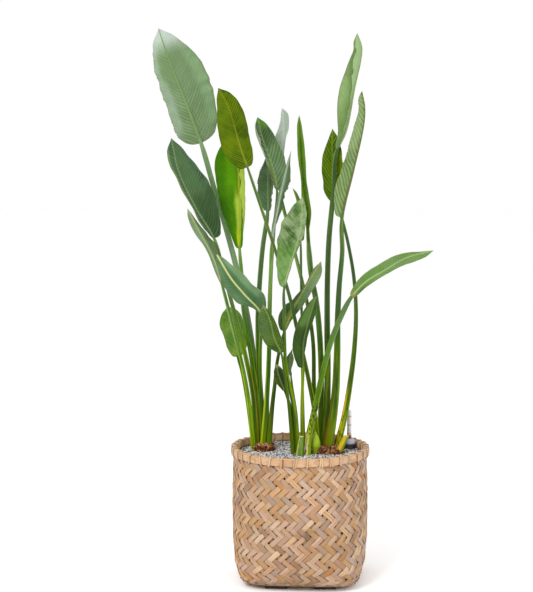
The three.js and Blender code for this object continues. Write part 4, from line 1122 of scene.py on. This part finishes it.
def gravel_layer():
    """Grains on a jittered hexagonal grid, except where the coir is, with a slab as their bed."""
    rng = np.random.default_rng(401)
    low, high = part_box("gravel")
    i, j = np.meshgrid(np.arange(-48, 49), np.arange(-48, 49), indexing="ij")
    x, y = (i + 0.5 * (j % 2)) * GRAVEL_PITCH, j * GRAVEL_PITCH * math.sqrt(3) / 2
    xy = np.stack([x, y], -1).reshape(-1, 2) + rng.normal(0, 0.0011, (i.size, 2))
    xy = xy[np.hypot(*xy.T) < INNER_HOOP_INSIDE - 0.0034]
    for plug in ("coir_left", "coir_right"):
        plug_low, plug_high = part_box(plug)
        away = (xy + AXIS - box_middle(plug)[:2]) / ((plug_high - plug_low).to_2d() * PLUG_CLEAR)
        xy = xy[np.hypot(*away.T) > 1]
    count = len(xy)
    size = rng.uniform(*GRAIN_HALF, (count, 1)) * rng.uniform(0.8, 1.15, (count, 3))
    places = np.column_stack([xy + AXIS, np.full(count, high.z) + rng.normal(0, 0.0008, count) - 0.0012])
    surface = Surface()
    scattered(surface, rng, places, size, icosahedron(), rng.uniform(0, 1, count))
    share = np.array([0.02, 0.3, 0.6, 0.85, 1.0, 1.0, 0.02])
    level = np.array([1, 1, 1, 1, 1, 0, 0]) * (high.z - BED_DROP - low.z) + low.z
    bed_radius = high.x - AXIS[0] - 0.0005
    # The bed's tone of 0.8 makes it dark grey-brown: painted shade in the gaps between the grains.
    surface.skin(round_axis(AXIS, (share * bed_radius)[:, None], once_round(90), level[:, None]), tone=0.8)
    surface.piece("gravel_grains", [crushed_stone()], "gravel", smooth=False)


def coconut_fibre():
    """Reddish brown fibre from near black to straw, with painted shade that darkens its holes."""
    f = Finish("coconut_fibre")
    shade = f.tones(*f.values("tone"), [
        (0.0, "2a160c"), (0.2, "703e22"), (0.45, "b06a3e"), (0.75, "d4945e"), (1.0, "ecc294")])
    hole = f.noise(f.place(), 110.0, 4.0, 0.65)
    # Near-black 2c1a10 where the noise is low is painted shade in the holes of the fibre.
    shade = f.over(shade, (hole.step(0.48, 0.34) * 0.8, "2c1a10"), (hole.step(0.56, 0.72) * 0.4, "c98f5e"))
    return f.done(shade, 0.9, hole, 0.003, gloss=0.2)


def coir_plug(name, node, spread, steep, chip, finish, seed):
    """Coconut fibre: a mound whose height falls as (1 - share^steep)^(1/2), roughened by waves, with chips
    lying on it and loose fibres that arch over it."""
    rng = np.random.default_rng(seed)
    low, high = (np.array(c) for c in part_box(node))
    centre, half, tall = (low + high) / 2, (high - low) / 2 * spread, high[2] - low[2]

    def mound(place):
        return tall * MOUND * np.sqrt(1 - place ** steep)

    surface = Surface()
    turn = once_round(96)
    share = np.concatenate([np.linspace(0.03, 1, 34), [1.0]])
    wobble = 1 + 0.04 * np.sin(3 * turn + seed) + 0.03 * np.sin(7 * turn + 2 * seed)
    ring = np.stack([np.cos(turn), np.sin(turn)], -1) * wobble[:, None] * 0.93
    rough = sum(np.sin(share[:, None] * a + turn * b + c) for a, b, c in
                zip(rng.uniform(8, 40, 7), rng.integers(2, 17, 7), rng.uniform(0, TAU, 7))) / 7
    height = mound(np.minimum(share, 0.999))[:, None] * (1 + 0.22 * rough)
    height[-1] = -0.004
    xy = centre[:2] + ring[None] * (share[:, None] * half[:2])[:, None]
    # The mound under the chips takes tone 0.12, a near-black brown: painted shade between the chips.
    surface.skin(np.concatenate([xy, (low[2] + np.minimum(height, tall - 0.001))[..., None]], -1), tone=0.12)
    place = np.sqrt(rng.uniform(0, 0.98, CHIPS))
    way = rng.uniform(0, TAU, CHIPS)
    z = low[2] + (mound(place) - 0.0005) * np.where(place > 0.93, rng.uniform(0, 1, CHIPS), 1)
    xy = centre[:2] + 0.92 * np.stack([np.cos(way), np.sin(way)], -1) * place[:, None] * half[:2]
    sizes = rng.uniform(0.55, 1.4, (CHIPS, 1)) * np.array(chip) * rng.uniform(0.8, 1.25, (CHIPS, 3))
    scattered(surface, rng, np.column_stack([xy, z]), sizes, sliver(), rng.uniform(0, 1, CHIPS) ** 0.8)
    u = np.linspace(-1, 1, 9)
    spin = (np.arange(3) * TAU / 3)[None, :, None]
    for _ in range(LOOSE_FIBRES):
        start, way = rng.uniform(0, TAU), rng.uniform(0, TAU)
        reach = rng.uniform(0.006, 0.016)
        from_middle = math.sqrt(rng.uniform(0, 0.6)) * 0.8
        x = centre[0] + from_middle * half[0] * math.cos(start) + u * reach * math.cos(way)
        y = centre[1] + from_middle * half[1] * math.sin(start) + u * reach * math.sin(way)
        away = np.clip(np.hypot((x - centre[0]) / half[0], (y - centre[1]) / half[1]), 0, 0.95)
        z = low[2] + mound(away) + 0.0015 * (1 - u * u) + 0.0004
        path = np.stack([x, y, np.minimum(z, high[2] - 0.0004)], -1)
        ahead = unit(np.gradient(path, axis=0))
        side = unit(np.cross(ahead, [0, 0, 1.0]))
        up = np.cross(side, ahead)
        tube = path[:, None] + FIBRE_RADIUS * (side[:, None] * np.cos(spin) - up[:, None] * np.sin(spin))
        surface.skin(tube, tone=rng.uniform(0.5, 1))
    surface.piece(name, [finish], node, smooth=False)


gravel_layer()
coir_finish = coconut_fibre()
coir_plug("coir_plug_left", "coir_left", 1.04, 9, (0.0058, 0.0036, 0.0026), coir_finish, 411)
coir_plug("coir_mound_right", "coir_right", 1.0, 3, (0.0084, 0.0026, 0.0015), coir_finish, 412)


# ---------------------------------------------------------------- stubs and bud

STEM_ROWS = 40
STEM_AROUND = 28
# Ends of a stem: shares of its top radius, and how far each rises above its top.
HOLLOW = [(0.97, 0.0006), (0.86, 0.0008), (0.7, 0.0), (0.62, -0.004), (0.55, -0.010), (0.2, -0.012)]
CLOSED = [(0.92, 0.0012), (0.7, 0.002), (0.3, 0.0018)]
POINT = [(0.8, 0.001), (0.5, 0.003), (0.2, 0.0045)]


def stem_finish(name, deep, light, left, share, cut_code):
    """Cut stalk: lengthwise streaks, a drier left side of the share given, spots, and a pale cut end."""
    f = Finish(name)
    right, front, up, cut = f.values("right", "front", "up", "cut")
    streak = f.noise(f.vector(right * 1.5, up * 3.0, front), 3.0, 4.0, 0.6)
    ragged = right + (f.noise(f.vector(right, up * 22.0, front), 3.0, 3.0) - 0.5) * 0.7
    spot = f.cells(f.vector(right * 0.01, up, front * 0.01), 130.0).step(0.22, 0.1)
    shade = f.over(f.mix(streak.step(0.3, 0.7), deep, light),
                   (ragged.step(share + 0.12, share - 0.12) * 0.9, left),
                   (spot * 0.5, "6b4420"),
                   (cut.step(0.1, 0.4), cut_code))
    return f.done(shade, 0.42, streak, 0.0008, gloss=0.2)


def stem_piece(name, node, finish, swell, end):
    """Short stem through the CAD stem's rings. Its radius is theirs times a swelling that goes through the
    values given from foot to top, with low ridges round it, and its end follows a profile."""
    rings = cad_rings(node)
    middles = rings.mean(1)
    halves = np.linalg.norm(rings[:, 2] - rings[:, 6], axis=1) / 2
    places = np.linspace(0, 1, len(rings))
    u = np.linspace(0, 1, STEM_ROWS)
    path, radius = through(middles, places, u), through(halves, places, u)
    radius = radius * through(np.array(swell, float), np.linspace(0, 1, len(swell)), u)
    up = unit(middles[-1] - middles[-2])
    parts, rises = np.array(end).T
    path = np.concatenate([path, path[-1] + up * rises[:, None]])
    radius = np.concatenate([radius, radius[-1] * parts])
    turn = once_round(STEM_AROUND)
    ridged = 1 + 0.03 * np.sin(turn * 5 + 1) + 0.02 * np.sin(turn * 11)
    ring = np.stack([np.cos(turn), np.sin(turn), np.zeros(STEM_AROUND)], -1)
    grid = path[:, None] + np.maximum(radius, 0.0002)[:, None, None] * ridged[None, :, None] * ring
    cut = np.concatenate([np.zeros(STEM_ROWS), np.linspace(0.4, 1, len(end))])
    surface = Surface()
    surface.skin(grid, right=np.cos(turn), front=-np.sin(turn), up=path[:, 2:3] - path[0, 2],
                 cut=cut[:, None])
    surface.piece(name, [finish], node)


stem_piece("cut_stub_green", "stub_green",
           stem_finish("stub_green_skin", "3f7010", "a4c84c", "d8dc84", -0.6, "f4eebc"),
           [1.1, 1.05, 0.8], HOLLOW)
stem_piece("cut_stub_yellow", "stub_yellow",
           stem_finish("stub_yellow_skin", "86ac10", "a9c41c", "f0c41a", 0.15, "e0b060"),
           [1.0, 1.05, 1.02], CLOSED)
stem_piece("young_bud", "bud",
           stem_finish("bud_skin", "8cb812", "c8e03c", "e6e67c", -0.7, "9a5a2c"),
           [0.45, 0.8, 1.15, 1.12, 1.0], POINT)


# ---------------------------------------------------------------- water gauge

GAUGE_AROUND = 48
CLOSE = 0.0004  # radius of a profile's end beside the axis, where a cap closes it


def turned_piece(name, node, profile, finish):
    """Surface of revolution about the node's upright axis, of a profile of radius and height. A profile that
    comes back to its start makes a ring."""
    r, z = np.array(profile).T
    grid = round_axis(box_middle(node), r[:, None], once_round(GAUGE_AROUND), z[:, None])
    ring = abs(r[0] - r[-1]) < 1e-9 and abs(z[0] - z[-1]) < 1e-9
    surface = Surface()
    surface.skin(grid[:-1] if ring else grid, ring=ring)
    surface.piece(name, [finish], node)


def rounded(profile, radius=0.0006, steps=4):
    """Profile with each of its corners cut to a short arc: points of a quadratic curve across the corner."""
    points = np.array(profile)
    out = [points[0]]
    for before, corner, after in zip(points[:-2], points[1:-1], points[2:]):
        start, end = (corner + (other - corner) * min(radius / np.linalg.norm(other - corner), 0.45)
                      for other in (before, after))
        for t in np.linspace(0, 1, steps):
            out.append(start * (1 - t) ** 2 + corner * 2 * t * (1 - t) + end * t * t)
    return np.array([*out, points[-1]])


def milky_tube():
    """Milky plastic, with yellow marks down its front, and dark red up to a height of 45 cm."""
    f = Finish("milky_tube")
    height, front = f.split("Z"), box_middle("gauge_tube")[1] - 0.002
    haze = f.noise(f.place(), 60.0, 3.0)
    mark = (height * (TAU / 0.028)).sine().step(0.82, 0.9) * f.split("Y").step(front, front - 0.003)
    shade = f.over(f.mix(haze, "eceeee", "ffffff"), (mark, "e0b030"), (height.step(0.452, 0.448), "8a3a26"))
    return f.done(shade, 0.3, haze, 0.0003, coat=0.3)


def red_float():
    f = Finish("red_float")
    haze = f.noise(f.place(), 80.0, 3.0)
    return f.done(f.mix(haze, "a82a1c", "cc4030"), 0.45, haze, 0.0002)


def dark_collar():
    f = Finish("dark_collar")
    dust = f.noise(f.place(), 120.0, 4.0, 0.6)
    return f.done(f.mix(dust.step(0.45, 0.8), "26252a", "57545c"), 0.5 + dust * 0.2, dust, 0.0003)


def lavender_cap(foot):
    """Lavender plastic, darker below a line 17 mm above the collar's foot."""
    f = Finish("lavender_cap")
    haze = f.noise(f.place(), 90.0, 3.0)
    shade = f.over(f.mix(haze, "b2adc8", "cdc9dc"), (f.split("Z").step(foot + 0.019, foot + 0.015), "4a4654"))
    return f.done(shade, 0.35, haze, 0.0002)


def gauge():
    """Water gauge: a milky tube with marks, its float, a dark collar and a lavender dome."""
    low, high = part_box("gauge_tube")
    radius, top = (high.x - low.x) / 2, high.z
    bore = radius - 0.0012
    outside = [(bore, low.z), (radius, low.z), (radius, top - 0.004), (radius - 0.002, top - 0.0008)]
    inside = [(CLOSE, top), (CLOSE, top - 0.002), (bore, top - 0.004), (bore, low.z)]
    turned_piece("gauge_milky_tube", "gauge_tube", rounded(outside + inside), milky_tube())
    low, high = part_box("gauge_float")
    half, wire = (high.x - low.x) / 2, 0.0012
    body = [(CLOSE, low.z), (half, low.z), (half, low.z + 0.056), (wire, low.z + 0.060), (wire, high.z),
            (CLOSE, high.z)]
    turned_piece("gauge_red_float", "gauge_float", rounded(body), red_float())
    low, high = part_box("gauge_collar")
    half, bore, foot = (high.x - low.x) / 2, radius + 0.0003, low.z
    ring = [(bore, foot), (half, foot), (half, high.z - 0.001), (half - 0.001, high.z), (bore, high.z),
            (bore, foot)]
    turned_piece("gauge_dark_collar", "gauge_collar", rounded(ring), dark_collar())
    low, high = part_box("gauge_dome")
    half, rise = (high.x - low.x) / 2, high.z - low.z
    a = np.linspace(0, math.pi / 2, 12)
    arc = zip(bore + (half - bore) * np.cos(a) ** 0.8, low.z + rise * np.sin(a))
    dome = [(bore, low.z), *arc, (bore, low.z)]
    turned_piece("gauge_lavender_dome", "gauge_dome", dome, lavender_cap(foot))


gauge()


# ---------------------------------------------------------------- CAD pieces that stay


def dress(node, name, deep, light, scale, rough):
    """The CAD node stays as it is, in a moulded or baked finish: mottled between two shades and finely
    pitted."""
    f = Finish(name)
    grit = f.noise(f.place(), scale, 4.0, 0.65)
    material = f.done(f.mix(grit.step(0.3, 0.7), deep, light), rough, grit, 0.0005)
    made = frame["nodes"][node]
    for slot in made.material_slots:
        slot.material = material
    if not made.material_slots:
        made.data.materials.append(material)


dress("foot_left", "black_foot", "121212", "2a2929", 180.0, 0.6)
dress("foot_right", "black_foot_pair", "121212", "2a2929", 180.0, 0.6)
dress("liner", "liner_plastic", "1c1b1a", "383430", 90.0, 0.5)
dress("clay_pebbles", "fired_clay", "6a4530", "9a6a4a", 150.0, 0.9)


# ---------------------------------------------------------------- stage

LIGHTS = (("key", (-2.0, -3.4, 3.4), 1.8, 130.0), ("fill", (3.2, -2.2, 2.0), 2.4, 42.0))  # place, side, watts
AIM = (0, 0, 0.8)  # what the lights point at
CAMERA_PLACE = (AXIS[0], -4.6, 1.372)
CAMERA_DOWN, CAMERA_LEFT = 5.7204, 1.3426  # degrees
LENS = 88.52  # millimetres


def linked(name, data):
    made = bpy.data.objects.new(name, data)
    bpy.context.scene.collection.objects.link(made)
    return made


def stage():
    """Pale floor, soft light from both sides and all round, and a camera that looks a little down."""
    mesh = bpy.data.meshes.new("floor")
    mesh.from_pydata([(-15, -12, 0), (15, -12, 0), (15, 30, 0), (-15, 30, 0)], [], [(0, 1, 2, 3)])
    f = Finish("pale_floor")
    cloud = f.noise(f.place(), 0.6, 2.0)
    mesh.materials.append(f.done(f.mix(cloud, (0.99, 0.99, 0.99, 1), (1.0, 1.0, 1.0, 1)), 1.0))
    linked("floor", mesh)
    world = bpy.data.worlds.new("studio")
    world.use_nodes = True
    sky = world.node_tree.nodes["Background"].inputs
    sky[0].default_value, sky[1].default_value = (1, 1, 1, 1), 1.0
    bpy.context.scene.world = world
    for name, place, size, power in LIGHTS:
        light = bpy.data.lights.new(name, "AREA")
        light.shape, light.size, light.energy = "SQUARE", size, power
        lamp = linked(name, light)
        lamp.location = place
        to = np.array(AIM) - np.array(place)
        lamp.rotation_euler = (math.acos(-to[2] / np.linalg.norm(to)), 0, math.atan2(-to[0], to[1]))
    data = bpy.data.cameras.new("camera")
    data.lens = LENS
    camera = linked("camera", data)
    camera.location = CAMERA_PLACE
    camera.rotation_euler = (math.radians(90 - CAMERA_DOWN), 0, math.radians(CAMERA_LEFT))
    bpy.context.scene.camera = camera
    bpy.context.scene.view_settings.view_transform = "Standard"


stage()
